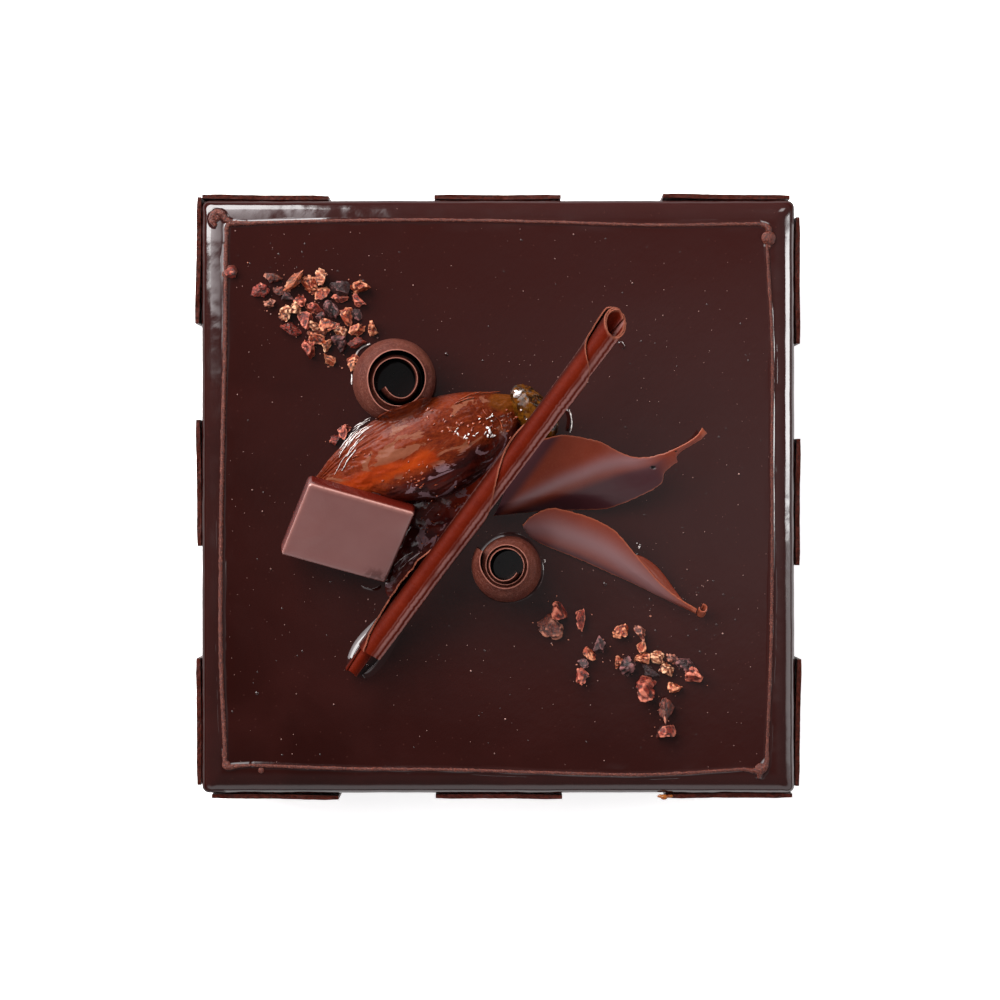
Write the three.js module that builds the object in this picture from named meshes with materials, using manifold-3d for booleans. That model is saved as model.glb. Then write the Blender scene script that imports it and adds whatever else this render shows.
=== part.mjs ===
// A square sacher torte, whole and uncut: a glazed chocolate cake with a piped border, twelve thin
// chocolate tiles standing round its sides, and on top a candied apricot, a bare chocolate square, a rolled
// chocolate cigarette, two upright curls, two petals and a scatter of cocoa nibs.
// Millimetres, +Z up. The origin is the centre of the underside, and +Y is the photograph's up.
import * as THREE from "three";
import { mergeVertices } from "three/addons/utils/BufferGeometryUtils.js";
import Module from "manifold-3d";

const wasm = await Module();
wasm.setup();

// ---- Driving sizes ----
const CAKE_SIDE = 180;
const CAKE_HEIGHT = 42;
const CORNER_RADIUS = 3; // seen from above
const SHOULDER_RADIUS = 4.5; // where the top rolls over into the sides
const FOOT_RADIUS = 1;
const SIDE = CAKE_SIDE / 2;
const TOP = CAKE_HEIGHT;
const GAP = 0.3; // between pieces that touch

const TILE_WIDTH = 38.5;
const TILE_HEIGHT = 39;
const TILE_THICKNESS = 1.2;
const TILE_LEAN = 0.7; // the most that a tile's end stands off the cake
const TILE_BOW = 0.25;
const TILE_ROUGHNESS = 0.35; // of its top edge

const BORDER_INSET = 7.5; // from the cake's side to the piped line
const BORDER_RADIUS = 0.62;
const BORDER_BEAD = 0.14; // how much each bead swells the line
const BORDER_STEPS = 30;

const NIB_SINK = 0.25; // the share of a nib's height that is in the glaze
const HEAP_NIBS = 36;
const HEAP_NIB_SIZE = [5.6, 3.2]; // the first and largest, and the last
const NIB_SEED = 20;

const CURL_GAP = 0.35; // between one turn of a curl and the next
const CURL_STEPS = 16; // for each turn
const CIGARETTE_RADIUS = 4;
const CIGARETTE_PITCH = 47; // length in which its free edge goes round once
const SHEET = 0.8; // thickness of a petal

// ---- Colours, roughness and metalness ----
const finish = (color, roughness) => new THREE.MeshStandardMaterial({ color, roughness, metalness: 0 });
const GLAZE = finish(0x34181a, 0.08);
const DARK_TILE = finish(0x3a1a16, 0.5);
const CHOCOLATE = finish(0x6a3024, 0.35);
const SQUARE_CHOCOLATE = finish(0x785352, 0.3);
const APRICOT = finish(0xa04a1e, 0.15);
const AMBER = finish(0xa06018, 0.12);

// ---- Random draws: a Lehmer sequence, the same in each run ----
function drawsFrom(seed) {
  let state = seed;
  return () => {
    state = (state * 16807) % 2147483647;
    return state / 2147483647;
  };
}

// ---- Surfaces and solids ----
const vector = (x, y, z = 0) => new THREE.Vector3(x, y, z);
const mix = THREE.MathUtils.lerp;
const { smoothstep } = THREE.MathUtils;

// Joins rings of equally many points into one closed surface, the first and last closed like a ladder. A
// leaf's ring runs up one face and back down the other, and both faces are split along the same diagonals.
function loft(rings, leaf = false) {
  const size = rings[0].length;
  const faces = [];
  for (let ring = 0; ring < rings.length - 1; ring++) {
    const here = ring * size;
    const next = here + size;
    for (let k = 0; k < size; k++) {
      const n = (k + 1) % size;
      if (leaf && k < size / 2) faces.push(here + k, next + k, next + n, here + k, next + n, here + n);
      else faces.push(here + k, next + k, here + n, here + n, next + k, next + n);
    }
  }
  const end = (rings.length - 1) * size;
  for (let k = 0; k < size / 2 - 1; k++) {
    const [a, b, c, d] = [k, k + 1, size - 2 - k, size - 1 - k];
    faces.push(a, b, c, a, c, d);
    faces.push(end + a, end + c, end + b, end + a, end + d, end + c);
  }
  const points = rings.flat().flatMap((point) => point.toArray());
  const geometry = new THREE.BufferGeometry();
  geometry.setAttribute("position", new THREE.Float32BufferAttribute(points, 3));
  geometry.setIndex(faces);
  return geometry;
}

function solidOf(geometry) {
  const bare = geometry.clone();
  bare.deleteAttribute("normal");
  bare.deleteAttribute("uv");
  const merged = mergeVertices(bare, 1e-4);
  const vertProperties = Float32Array.from(merged.attributes.position.array);
  const triVerts = Uint32Array.from(merged.index.array);
  const solid = new wasm.Manifold(new wasm.Mesh({ numProp: 3, vertProperties, triVerts }));
  if (solid.volume() > 0) return solid;
  return new wasm.Manifold(new wasm.Mesh({ numProp: 3, vertProperties, triVerts: triVerts.reverse() }));
}

const joined = (solids) => solids.reduce((whole, solid) => whole.add(solid));
const largest = (solid) => solid.decompose().sort((a, b) => b.volume() - a.volume())[0];
const carved = (solid, cutters) => largest(cutters.reduce((rest, cutter) => rest.subtract(cutter), solid));

function geometryOf(solid) {
  const mesh = solid.getMesh();
  const geometry = new THREE.BufferGeometry();
  geometry.setAttribute("position", new THREE.BufferAttribute(mesh.vertProperties, 3));
  geometry.setIndex(new THREE.BufferAttribute(mesh.triVerts, 1));
  return geometry;
}

function piece(name, solid, material) {
  const mesh = new THREE.Mesh(geometryOf(solid), material);
  mesh.name = name;
  return mesh;
}

// A ring of a rounded rectangle, from the middle of its half sizes, with steps points to each corner.
function roundedRing(halfX, halfY, radius, steps, z) {
  const ring = [];
  for (let corner = 0; corner < 4; corner++) {
    const centreX = (halfX - radius) * (corner === 0 || corner === 3 ? 1 : -1);
    const centreY = (halfY - radius) * (corner < 2 ? 1 : -1);
    for (let step = 0; step <= steps; step++) {
      const angle = (Math.PI / 2) * (corner + step / steps);
      ring.push(vector(centreX + radius * Math.cos(angle), centreY + radius * Math.sin(angle), z));
    }
  }
  return ring;
}

// A bead of chocolate that lies in the glaze: a squashed ball, larger in its middle than where it sinks in.
function blob(x, y, radius, height = radius) {
  const ball = new THREE.SphereGeometry(1, 9, 6);
  ball.rotateX(Math.PI / 2);
  ball.scale(radius, radius, height);
  ball.translate(x, y, TOP);
  return solidOf(ball);
}

// ---- The glazed cake ----
function glazeBody() {
  const ringAt = (inset, z) => roundedRing(SIDE - inset, SIDE - inset, CORNER_RADIUS, 4, z);
  const rings = [ringAt(FOOT_RADIUS, 0), ringAt(0, FOOT_RADIUS)];
  const arcs = 5;
  for (let arc = 0; arc <= arcs; arc++) {
    const angle = ((Math.PI / 2) * arc) / arcs;
    const inset = SHOULDER_RADIUS * (1 - Math.cos(angle));
    rings.push(ringAt(inset, TOP - SHOULDER_RADIUS * (1 - Math.sin(angle))));
  }
  return solidOf(loft(rings));
}

// Each side of the border is one piped line through a few hand-held waverings.
const BORDER_SIDES = [
  { turn: 90, from: 77, to: -80, waver: [-0.3, -0.3, 0.9, 1.5, 1.5, 0.1], radius: 0.8 },
  { turn: 0, from: -81, to: 81, waver: [0.3, 1.1, 1.3, 0.7, -0.2, 0.3], radius: BORDER_RADIUS },
  { turn: -90, from: 78, to: -77, waver: [-0.4, -0.1, 0.5, 0.4, 0.5, -1.1], radius: BORDER_RADIUS },
  { turn: 180, from: 75, to: -75, waver: [-1.2, -0.1, 0.2, 1.1, 1.7, 0], radius: BORDER_RADIUS },
];

function pipedLine({ turn, from, to, waver, radius }) {
  const bends = waver.map((out, i) => vector(mix(from, to, i / (waver.length - 1)), SIDE - BORDER_INSET + out));
  const path = new THREE.CatmullRomCurve3(bends);
  const sides = 6;
  const rings = [];
  for (let step = 0; step <= BORDER_STEPS; step++) {
    const centre = path.getPointAt(step / BORDER_STEPS);
    const swell = radius * (1 + BORDER_BEAD * Math.sin(step * 2.1));
    const ring = [];
    for (let k = 0; k < sides; k++) {
      const angle = (2 * Math.PI * k) / sides;
      ring.push(vector(centre.x, centre.y + swell * Math.cos(angle), TOP + 0.2 + swell * Math.sin(angle)));
    }
    rings.push(ring);
  }
  return solidOf(loft(rings).rotateZ(THREE.MathUtils.degToRad(turn)));
}

// Where the piping starts, turns and ends: x, y and radius of each bead at the border's corners.
const BORDER_BEADS = [
  [-86.2, 82.6, 1.5],
  [-85, 85, 1.7],
  [-82.4, 83, 2],
  [-81.4, 68.2, 2],
  [82, 78.6, 2.4],
  [79.6, -82.8, 3],
  [82.2, -79.4, 1.8],
  [-82.2, -80.6, 1.9],
  [-78.4, -82.6, 1.3],
];

// The heap of nibs by the curl spreads over this outline, and the trail below the petals is set one by one.
const HEAP_OUTLINE = [
  [-75, 63],
  [-61, 69],
  [-44, 67],
  [-36, 52],
  [-43, 38.5],
  [-58, 43],
  [-70, 54],
];
const TRAIL_NIBS = [
  [15.4, -39.2, 7.6],
  [19.3, -34.6, 5.5],
  [25.1, -37.4, 4.8],
  [36.9, -40.4, 4.8],
  [43.3, -40.4, 3.6],
  [43.3, -45.2, 3.3],
  [43.3, -48.8, 4.2],
  [26.6, -47.7, 4.2],
  [31.5, -45.2, 4.2],
  [25.7, -53.6, 4.6],
  [36.8, -50.6, 4.2],
  [49.3, -48, 4.5],
  [51.4, -51.9, 4.5],
  [54.4, -48.2, 4.8],
  [58.4, -50.6, 4.5],
  [46.8, -53.2, 4.8],
  [60.2, -55.5, 5.2],
  [44.5, -58, 6.2],
  [53.9, -58.6, 3.3],
  [50.5, -64.6, 6],
  [50.5, -70.7, 5.4],
  [-47.6, 20.6, 3.3],
  [-49.6, 17, 3],
];

// Each nib goes where, of several draws inside the outline, it lies furthest from those before it.
function heapOfNibs(draw) {
  const xs = HEAP_OUTLINE.map(([x]) => x);
  const ys = HEAP_OUTLINE.map(([, y]) => y);
  const inside = (x, y) => {
    let crossings = 0;
    HEAP_OUTLINE.forEach(([x1, y1], i) => {
      const [x2, y2] = HEAP_OUTLINE[(i + 1) % HEAP_OUTLINE.length];
      if (y1 > y !== y2 > y && x < mix(x1, x2, (y - y1) / (y2 - y1))) crossings += 1;
    });
    return crossings % 2 === 1;
  };
  const nibs = [];
  while (nibs.length < HEAP_NIBS) {
    let best = null;
    let clearest = -1;
    for (let attempt = 0; attempt < 30; attempt++) {
      const x = mix(Math.min(...xs), Math.max(...xs), draw());
      const y = mix(Math.min(...ys), Math.max(...ys), draw());
      if (!inside(x, y)) continue;
      const clear = Math.min(1e3, ...nibs.map(([nx, ny]) => Math.hypot(x - nx, y - ny)));
      if (clear > clearest) {
        clearest = clear;
        best = [x, y];
      }
    }
    const size = mix(HEAP_NIB_SIZE[0], HEAP_NIB_SIZE[1], nibs.length / (HEAP_NIBS - 1));
    if (best) nibs.push([...best, size]);
  }
  return nibs;
}

// A broken kernel of cocoa: a rough chip with a few flat faces, at its own angle in the glaze.
function nib(x, y, size, draw) {
  const chip = new THREE.IcosahedronGeometry(0.5, 0);
  const merged = mergeVertices(chip.deleteAttribute("normal").deleteAttribute("uv"), 1e-4);
  const corners = merged.attributes.position;
  for (let i = 0; i < corners.count; i++) {
    const push = 0.8 + 0.4 * draw();
    corners.setXYZ(i, corners.getX(i) * push, corners.getY(i) * push, corners.getZ(i) * push);
  }
  const height = size * mix(0.45, 0.65, draw());
  merged.scale(size * 1.1, size * mix(0.65, 0.9, draw()), height);
  merged.rotateZ(2 * Math.PI * draw());
  merged.translate(x, y, TOP + height * (0.5 - NIB_SINK));
  return solidOf(merged);
}

function glazedCake() {
  const draw = drawsFrom(NIB_SEED);
  const nibs = [...heapOfNibs(draw), ...TRAIL_NIBS].map(([x, y, size]) => nib(x, y, size, draw));
  const piping = BORDER_SIDES.map(pipedLine);
  const beads = BORDER_BEADS.map(([x, y, radius]) => blob(x, y, radius, radius * 0.7));
  return joined([glazeBody(), ...piping, ...beads, ...nibs]);
}

// ---- The tiles round the sides ----
// For each side, seen from outside: where each tile's middle is, and how far its two ends lean out.
const TILE_ROWS = [
  { name: "front", turn: 0, tiles: [[-67.8, 0.2, 1], [0.2, 0.3, 0.6], [70.2, 0.2, 0]] },
  { name: "right", turn: 90, tiles: [[-68.7, 0, 1], [-1.6, 0.2, 0.6], [65.8, 0.4, 0.3]] },
  { name: "back", turn: 180, tiles: [[-69.4, 0.2, 1], [0.2, 0.4, 0.4], [70.8, 0, 0.6]] },
  { name: "left", turn: 270, tiles: [[-71.9, 0, 1], [-4.2, 0.6, 0], [68.4, 0.5, 0]] },
];

function tile(middle, leanStart, leanEnd, turn, draw) {
  const across = 8;
  const up = 3;
  const rings = [];
  for (let i = 0; i <= across; i++) {
    const u = i / across;
    const out = TILE_LEAN * mix(leanStart, leanEnd, u);
    const bow = TILE_BOW * Math.sin(Math.PI * u);
    const x = middle + TILE_WIDTH * (u - 0.5);
    const top = TILE_HEIGHT - TILE_ROUGHNESS * 2 * draw();
    const faceAt = (y) => (_, j) => vector(x, y + (out - bow) * 0.5 * (1 + j / up), (top * j) / up);
    const inner = Array.from({ length: up + 1 }, faceAt(GAP + TILE_BOW));
    const outer = Array.from({ length: up + 1 }, faceAt(GAP + TILE_THICKNESS + (i % across ? TILE_BOW : 0)));
    rings.push([...inner, ...outer.reverse()]);
  }
  const standing = loft(rings, true).scale(1, -1, 1).translate(0, -SIDE, 0);
  return solidOf(standing.rotateZ(THREE.MathUtils.degToRad(turn)));
}

// ---- The two upright curls ----
const CURLS = [
  { name: "curl_1", x: -31.5, y: 34.8, height: 18, reach: 12.6, rim: 8.4, hole: 6.1, turns: 2.125,
    start: 215, hand: 1, leanX: 1.3, leanY: 0.3, tail: 2, flare: 1.4 },
  { name: "curl_2", x: 3.3, y: -21.4, height: 16, reach: 11.2, rim: 7.6, hole: 4.6, turns: 2.5,
    start: 328, hand: -1, leanX: -1, leanY: 0.8, tail: 0.6, flare: 0.9 },
];

const swelling = (v) => 1 - Math.abs(2 * v - 1) ** 2.2;
const leanAt = (curl, v) => vector(curl.leanX, curl.leanY).multiplyScalar(v * v);

// One sheet wound round an empty middle. It is thick at half height and thin at its two rims.
function curlSheet(curl) {
  const up = 6;
  const steps = curl.turns * CURL_STEPS;
  const rings = [];
  for (let i = 0; i <= steps; i++) {
    const wound = i / steps;
    const angle = THREE.MathUtils.degToRad(curl.start) + (curl.hand * 2 * Math.PI * i) / CURL_STEPS;
    const tuck = curl.tail * (1 - smoothstep(i / CURL_STEPS, 0, 0.25));
    const flare = curl.flare * smoothstep(wound, 1 - 0.2 / curl.turns, 1);
    const inner = [];
    const outer = [];
    for (let j = 0; j <= up; j++) {
      const v = j / up;
      const reach = mix(curl.rim, curl.reach, swelling(v));
      const pitch = (reach - curl.hole + CURL_GAP) / (curl.turns + 1);
      const free = flare * (1 - swelling(v));
      const radius = curl.hole + pitch * curl.turns * wound - tuck + free;
      const middle = leanAt(curl, v).add(vector(curl.x, curl.y, TOP + GAP + curl.height * v));
      const along = vector(Math.cos(angle), Math.sin(angle));
      inner.push(middle.clone().addScaledVector(along, radius));
      outer.push(middle.clone().addScaledVector(along, radius + pitch - CURL_GAP));
    }
    rings.push([...inner, ...outer.reverse()]);
  }
  return solidOf(loft(rings, true));
}

// The barrel that a curl fills, grown by the room that soft fruit leaves round it.
function curlBarrel(curl, room) {
  const rings = [];
  const up = 8;
  for (let j = 0; j <= up; j++) {
    const v = j / up;
    const radius = mix(curl.rim, curl.reach, swelling(v)) + curl.flare * (1 - swelling(v)) + room;
    const ring = roundedRing(radius, radius, radius, 4, 0);
    const z = TOP + GAP - room + (curl.height + 2 * room) * v;
    rings.push(ring.map((point) => point.add(leanAt(curl, v)).add(vector(curl.x, curl.y, z))));
  }
  return solidOf(loft(rings));
}

// ---- The rolled cigarette ----
const CIGARETTE = {
  low: vector(-38.9, -47.1, TOP + GAP + CIGARETTE_RADIUS + 0.3),
  high: vector(38.1, 56.2, TOP + 29),
  seamAngle: 200, // of the free edge at the high end
  step: 0.5, // height of the free edge over the turn below it
  bore: 2.7,
  innerRadius: 2.4, // of the inner turns, which stick out at the low end
  innerReach: 8.2,
  slant: 40, // of the torn high end from square, seen from the side
  skew: 15, // and seen from above
};

// A frame along the roll: x is its right side seen from above, y its upper side, z its length.
function rollFrame() {
  const along = CIGARETTE.high.clone().sub(CIGARETTE.low).normalize();
  const right = along.clone().cross(vector(0, 0, 1)).normalize();
  const upper = right.clone().cross(along);
  return new THREE.Matrix4().makeBasis(right, upper, along).setPosition(CIGARETTE.low);
}

const rollLength = CIGARETTE.high.distanceTo(CIGARETTE.low);

function rollSolid(room = 0) {
  const steps = 38;
  const around = 16;
  const rings = [];
  for (let i = 0; i <= steps; i++) {
    const z = (rollLength * i) / steps;
    const seam = THREE.MathUtils.degToRad(CIGARETTE.seamAngle) - (2 * Math.PI * (rollLength - z)) / CIGARETTE_PITCH;
    const taper = mix(0.15, -0.15, i / steps);
    const ring = [];
    for (let k = 0; k < around; k++) {
      const round = k / (around - 1);
      const radius = CIGARETTE_RADIUS + taper + room - CIGARETTE.step * round;
      const angle = seam + 2 * Math.PI * Math.min(round, 0.995);
      ring.push(vector(radius * Math.cos(angle), radius * Math.sin(angle), z));
    }
    rings.push(ring);
  }
  return solidOf(loft(rings));
}

function cylinder(radius, fromZ, toZ, sides) {
  const geometry = new THREE.CylinderGeometry(radius, radius, toZ - fromZ, sides);
  geometry.rotateX(Math.PI / 2).translate(0, 0, (fromZ + toZ) / 2);
  return solidOf(geometry);
}

function cigarette() {
  const { bore, innerRadius, innerReach, slant, skew } = CIGARETTE;
  const { degToRad } = THREE.MathUtils;
  const slab = new THREE.BoxGeometry(40, 40, 20).translate(0, 0, 10);
  slab.rotateX(degToRad(slant)).rotateY(degToRad(skew)).translate(0, 0, rollLength - CIGARETTE_RADIUS);
  const inner = cylinder(innerRadius, -innerReach, innerReach, 12).translate([-0.9, 0.9 - innerRadius / 2, 0]);
  const innerBore = cylinder(innerRadius - 1.2, -innerReach - 1, innerReach + 1, 8);
  const hollow = cylinder(bore, innerReach * 2, rollLength + 1, 12);
  const roll = carved(rollSolid().add(inner), [hollow, solidOf(slab), innerBore.translate([-0.9, -0.3, 0])]);
  return roll.transform(rollFrame().toArray());
}

// ---- The chocolate square ----
// Its face is bare. The far edge leans up on the apricot and the near edge stands on the glaze.
const SQUARE = {
  centre: vector(-46.1, -12.6, TOP + 11.6), // the middle of its face
  across: vector(31.06, -8.64, -2), // along the face's far edge
  far: vector(8.94, 20.45, 9), // from the near edge to the far one
  halfWidth: 16.1,
  halfDepth: 11.1,
  thickness: 5.6,
  corner: 1.6,
  draft: 0.5, // the underside is this much larger all round
};

function squareFrame() {
  const across = SQUARE.across.clone().normalize();
  const face = across.clone().cross(SQUARE.far).normalize();
  const far = face.clone().cross(across);
  return new THREE.Matrix4().makeBasis(across, far, face).setPosition(SQUARE.centre);
}

function squareSolid(room = 0) {
  const { halfWidth, halfDepth, thickness, corner, draft } = SQUARE;
  const layers = [
    [-thickness - room, draft - 0.4],
    [-thickness + 0.6, draft],
    [-1, 0.3],
    [-0.35, 0],
    [room, -0.6],
  ];
  const rings = layers.map(([z, out]) =>
    roundedRing(halfWidth + out + room, halfDepth + out + room, corner, 3, z));
  return solidOf(loft(rings)).transform(squareFrame().toArray());
}

// ---- The petals ----
// Stations from the end near the cigarette to the tip: the upper edge and the lower edge, as [x, y, height
// over the glaze]. Between them the sheet arches up by its crown.
const PETALS = [
  { name: "petal_1", crown: 3.4, crownAtTip: 0.3,
    upper: [[12, 17, 11.5], [20, 18.5, 12], [31, 15.8, 11], [40, 12.7, 9.5], [46, 12.5, 9.5],
      [51.5, 14.6, 11], [61.6, 20.5, 14.5]],
    lower: [[3, -2.5, 1.2], [12.6, -5, 2.4], [27.7, -3.1, 4.2], [43, 0.3, 5.6], [50, 4.8, 7],
      [53.6, 12, 9.6], [62.4, 18.8, 13.8]] },
  { name: "petal_2", crown: 3.2, crownAtTip: 0.4,
    upper: [[7.4, -8.3, 3.6], [12.6, -4.3, 8], [21.5, -4, 9.6], [33.5, -9.1, 10.4], [42.6, -19, 9],
      [51.7, -29.3, 5], [62.2, -33.8, 4.2]],
    lower: [[7.8, -9.8, 2.2], [11.5, -12.5, 1.2], [19, -16.6, 1], [30, -21.6, 1], [41, -26.4, 1],
      [50.4, -30.8, 1.6], [61.6, -35.4, 2.8]] },
];

// room widens and thickens the sheet, to cut its place out of soft fruit.
function petalSolid(petal, room = 0) {
  const edge = (stations) => new THREE.CatmullRomCurve3(stations.map(([x, y, z]) => vector(x, y, TOP + z)));
  const upper = edge(petal.upper);
  const lower = edge(petal.lower);
  const along = 20;
  const across = 7;
  const rings = [];
  for (let i = 0; i <= along; i++) {
    const u = i / along;
    const high = upper.getPoint(u);
    const low = lower.getPoint(u);
    const chord = high.clone().sub(low);
    const length = upper.getTangent(u);
    const outward = chord.clone().cross(length).normalize();
    if (outward.z < 0) outward.negate();
    const crown = mix(petal.crown, petal.crownAtTip, u);
    const face = (half) => (_, j) => {
      const v = j / across;
      const thin = half * mix(0.55, 1, Math.sin(Math.PI * v));
      const point = low.clone().addScaledVector(chord, v);
      return point.addScaledVector(outward, crown * Math.sin(Math.PI * v) + thin);
    };
    const half = SHEET / 2 + room;
    const front = Array.from({ length: across + 1 }, face(half));
    const back = Array.from({ length: across + 1 }, face(-half));
    rings.push([...front, ...back.reverse()]);
  }
  return solidOf(loft(rings, true));
}

// ---- The fruit ----
// The apricot lies along a line from its left end, with cross-sections that reach to both sides and up.
const APRICOT_SHAPE = {
  left: vector(-57, 0.5),
  right: vector(8.5, 27.6),
  upperReach: [2, 9.8, 13.4, 13.3, 10.2, 3],
  lowerReach: [2, 9, 14, 16.5, 12, 3],
  crest: [3, 11, 16.5, 17.5, 14, 5],
  folds: 9,
  foldDepth: 0.45,
};

// The value at share t of a list of equally spaced ones, on a smooth line through them.
function along(values, t) {
  return new THREE.CatmullRomCurve3(values.map((value, i) => vector(i, value))).getPoint(t).y;
}

function apricotBody() {
  const { left, right, upperReach, lowerReach, crest, folds, foldDepth } = APRICOT_SHAPE;
  const length = right.clone().sub(left);
  const sideways = vector(-length.y, length.x).normalize();
  const stations = 16;
  const around = 22;
  const rings = [];
  for (let i = 0; i <= stations; i++) {
    const t = i / stations;
    const ring = [];
    for (let k = 0; k < around; k++) {
      const angle = (2 * Math.PI * k) / around;
      const reach = along(Math.cos(angle) > 0 ? upperReach : lowerReach, t);
      const fold = foldDepth * Math.cos(folds * angle + 3 * t) * Math.sin(Math.PI * t);
      const out = (reach + fold) * Math.cos(angle);
      const middle = along(crest, t) * 0.4;
      const rise = Math.sin(angle) > 0 ? along(crest, t) * 0.6 + fold : middle;
      const z = TOP + GAP + middle + rise * Math.sin(angle);
      const centre = left.clone().addScaledVector(length, t);
      ring.push(centre.addScaledVector(sideways, out).setZ(z));
    }
    rings.push(ring);
  }
  return solidOf(loft(rings));
}

const AMBER_SHAPE = { x: 10.8, y: 25.2, long: 10.2, wide: 5.6, height: 11.5, turn: -53 };

function amberBody(room = 0) {
  const { x, y, long, wide, height, turn } = AMBER_SHAPE;
  const ball = new THREE.SphereGeometry(1, 14, 9);
  const corners = ball.attributes.position;
  for (let i = 0; i < corners.count; i++) {
    const [a, b, c] = [corners.getX(i), corners.getY(i), corners.getZ(i)];
    const bump = 1 + 0.05 * Math.sin(5 * a + 2 * c) * Math.cos(4 * b);
    corners.setXYZ(i, a * bump, b * bump, c * bump);
  }
  ball.rotateX(Math.PI / 2).scale(long + room, wide + room, height / 2 + room);
  ball.rotateZ(THREE.MathUtils.degToRad(turn)).translate(x, y, TOP + GAP + 0.3 + height / 2);
  return solidOf(ball);
}

// ---- The whole torte ----
const torte = new THREE.Group();
torte.add(piece("glazed_cake", glazedCake(), GLAZE));

const tileDraw = drawsFrom(7);
for (const { name, turn, tiles } of TILE_ROWS) {
  tiles.forEach(([middle, leanStart, leanEnd], i) => {
    const solid = tile(middle, leanStart, leanEnd, turn, tileDraw);
    torte.add(piece(`tile_${name}_${i + 1}`, solid, DARK_TILE));
  });
}

CURLS.forEach((curl) => torte.add(piece(curl.name, curlSheet(curl), CHOCOLATE)));
torte.add(piece("chocolate_cigarette", cigarette(), CHOCOLATE));
torte.add(piece("chocolate_square", squareSolid(), SQUARE_CHOCOLATE));
PETALS.forEach((petal) => torte.add(piece(petal.name, petalSolid(petal), CHOCOLATE)));

// The soft fruit gives way to the chocolate that lies on it.
const rollRoom = rollSolid(GAP + 0.1).transform(rollFrame().toArray());
const petalRoom = petalSolid(PETALS[0], GAP);
const fruitCuts = [curlBarrel(CURLS[0], GAP + 0.1), squareSolid(GAP), rollRoom, petalRoom];
torte.add(piece("candied_apricot", carved(apricotBody(), [...fruitCuts, amberBody(GAP)]), APRICOT));
torte.add(piece("amber_apricot_piece", carved(amberBody(), [rollRoom, petalRoom]), AMBER));

export default torte;
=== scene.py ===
"""The looks of a square sacher torte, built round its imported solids.

Lengths in this script are millimetres in the part's own frame: +Z up, +Y the photograph's up, the origin
under the middle of the cake. MM turns them into Blender's metres.
"""

import math

import bmesh
import bpy
import numpy as np
from mathutils import Matrix, Vector, noise


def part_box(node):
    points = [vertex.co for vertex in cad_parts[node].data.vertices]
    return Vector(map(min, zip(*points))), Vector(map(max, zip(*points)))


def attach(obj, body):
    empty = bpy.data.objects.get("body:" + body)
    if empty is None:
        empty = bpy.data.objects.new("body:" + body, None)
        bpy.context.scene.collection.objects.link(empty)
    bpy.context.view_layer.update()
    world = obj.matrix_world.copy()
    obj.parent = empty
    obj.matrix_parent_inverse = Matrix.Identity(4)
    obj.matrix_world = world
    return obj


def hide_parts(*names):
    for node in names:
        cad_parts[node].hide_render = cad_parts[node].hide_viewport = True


MM = 0.001
BODY = "root"

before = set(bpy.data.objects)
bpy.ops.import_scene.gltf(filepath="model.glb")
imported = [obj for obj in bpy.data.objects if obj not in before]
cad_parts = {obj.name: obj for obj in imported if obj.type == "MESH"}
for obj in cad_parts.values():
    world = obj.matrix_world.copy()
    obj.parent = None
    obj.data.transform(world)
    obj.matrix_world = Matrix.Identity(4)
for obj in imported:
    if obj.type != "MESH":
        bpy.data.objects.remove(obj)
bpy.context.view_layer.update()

# ---- Driving sizes ----
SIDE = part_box("glazed_cake")[1].x / MM
TOP = 42.0
SHOULDER_WIDE = 7.0
SHOULDER_DEEP = 4.5
SHOULDER_TURN = math.radians(72)  # where the rounded shoulder ends and the straight side begins
SHOULDER_SPAN = SHOULDER_WIDE / math.sin(SHOULDER_TURN)
CORNER = 2.2
FOOT = 1.0
DULL_BELOW = 38.6  # on its sides the glaze is thinner and mirrors less
DULL_EDGE = 40.25  # and at the left and the back it is so up to here, over the outermost edge
GAP = 0.3

BORDER_INSET = 7.5
CIGARETTE_LOW = np.array([-38.9, -47.1, TOP + 4.6])
CIGARETTE_HIGH = np.array([38.1, 56.2, TOP + 29.0])
CIGARETTE_RADIUS = 4.1

CAMERA_HEIGHT = 1000.0  # over the glaze
FRAME_WIDTH = 303.0  # of the photograph, at the glaze
CAMERA_PLACE = (0.545, -1.0)
SENSOR = 36.0


# ---- Numbers ----
def smooth_step(low, high, value):
    """Rises softly from 0 at low to 1 at high, which may be the lesser of the two."""
    share = np.clip((value - low) / (high - low), 0.0, 1.0)
    return share * share * (3.0 - 2.0 * share)


def mix(a, b, share):
    return a + (b - a) * share


def unit(vectors):
    """One vector or rows of them, each scaled to a length of one."""
    return vectors / np.linalg.norm(vectors, axis=-1, keepdims=True)


def from_ends(count):
    """How far each of so many steps is from the nearer end of them."""
    return np.minimum(np.arange(count), np.arange(count)[::-1])


def lumps(points, size, seed=0.0):
    """Smooth noise, about -1 to 1, at each point, with lumps about size mm across."""
    flat = np.asarray(points, float).reshape(-1, 3) / size + np.array([seed, 1.7 * seed, 0.3 * seed])
    values = np.array([noise.noise(Vector(point)) for point in flat.tolist()])
    return values.reshape(np.shape(points)[:-1])


def layered(points, *layers):
    """Lumps of several kinds added up, each given as (height, size, seed)."""
    return sum(height * lumps(points, size, seed) for height, size, seed in layers)


def smooth_line(points, shares):
    """Points on a smooth line through the given ones, at shares from 0 to 1."""
    given = np.array(points, float)
    last = len(given) - 1
    padded = np.vstack([2 * given[0] - given[1], given, 2 * given[-1] - given[-2]])
    place = np.clip(np.asarray(shares, float), 0.0, 1.0) * last
    start = np.minimum(place.astype(int), last - 1)
    f = (place - start)[:, None]
    p0, p1, p2, p3 = (padded[start + k] for k in range(4))
    bend = 2 * p0 - 5 * p1 + 4 * p2 - p3
    turn = 3 * p1 - p0 - 3 * p2 + p3
    return 0.5 * (2 * p1 + (p2 - p0) * f + bend * f**2 + turn * f**3)


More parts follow.
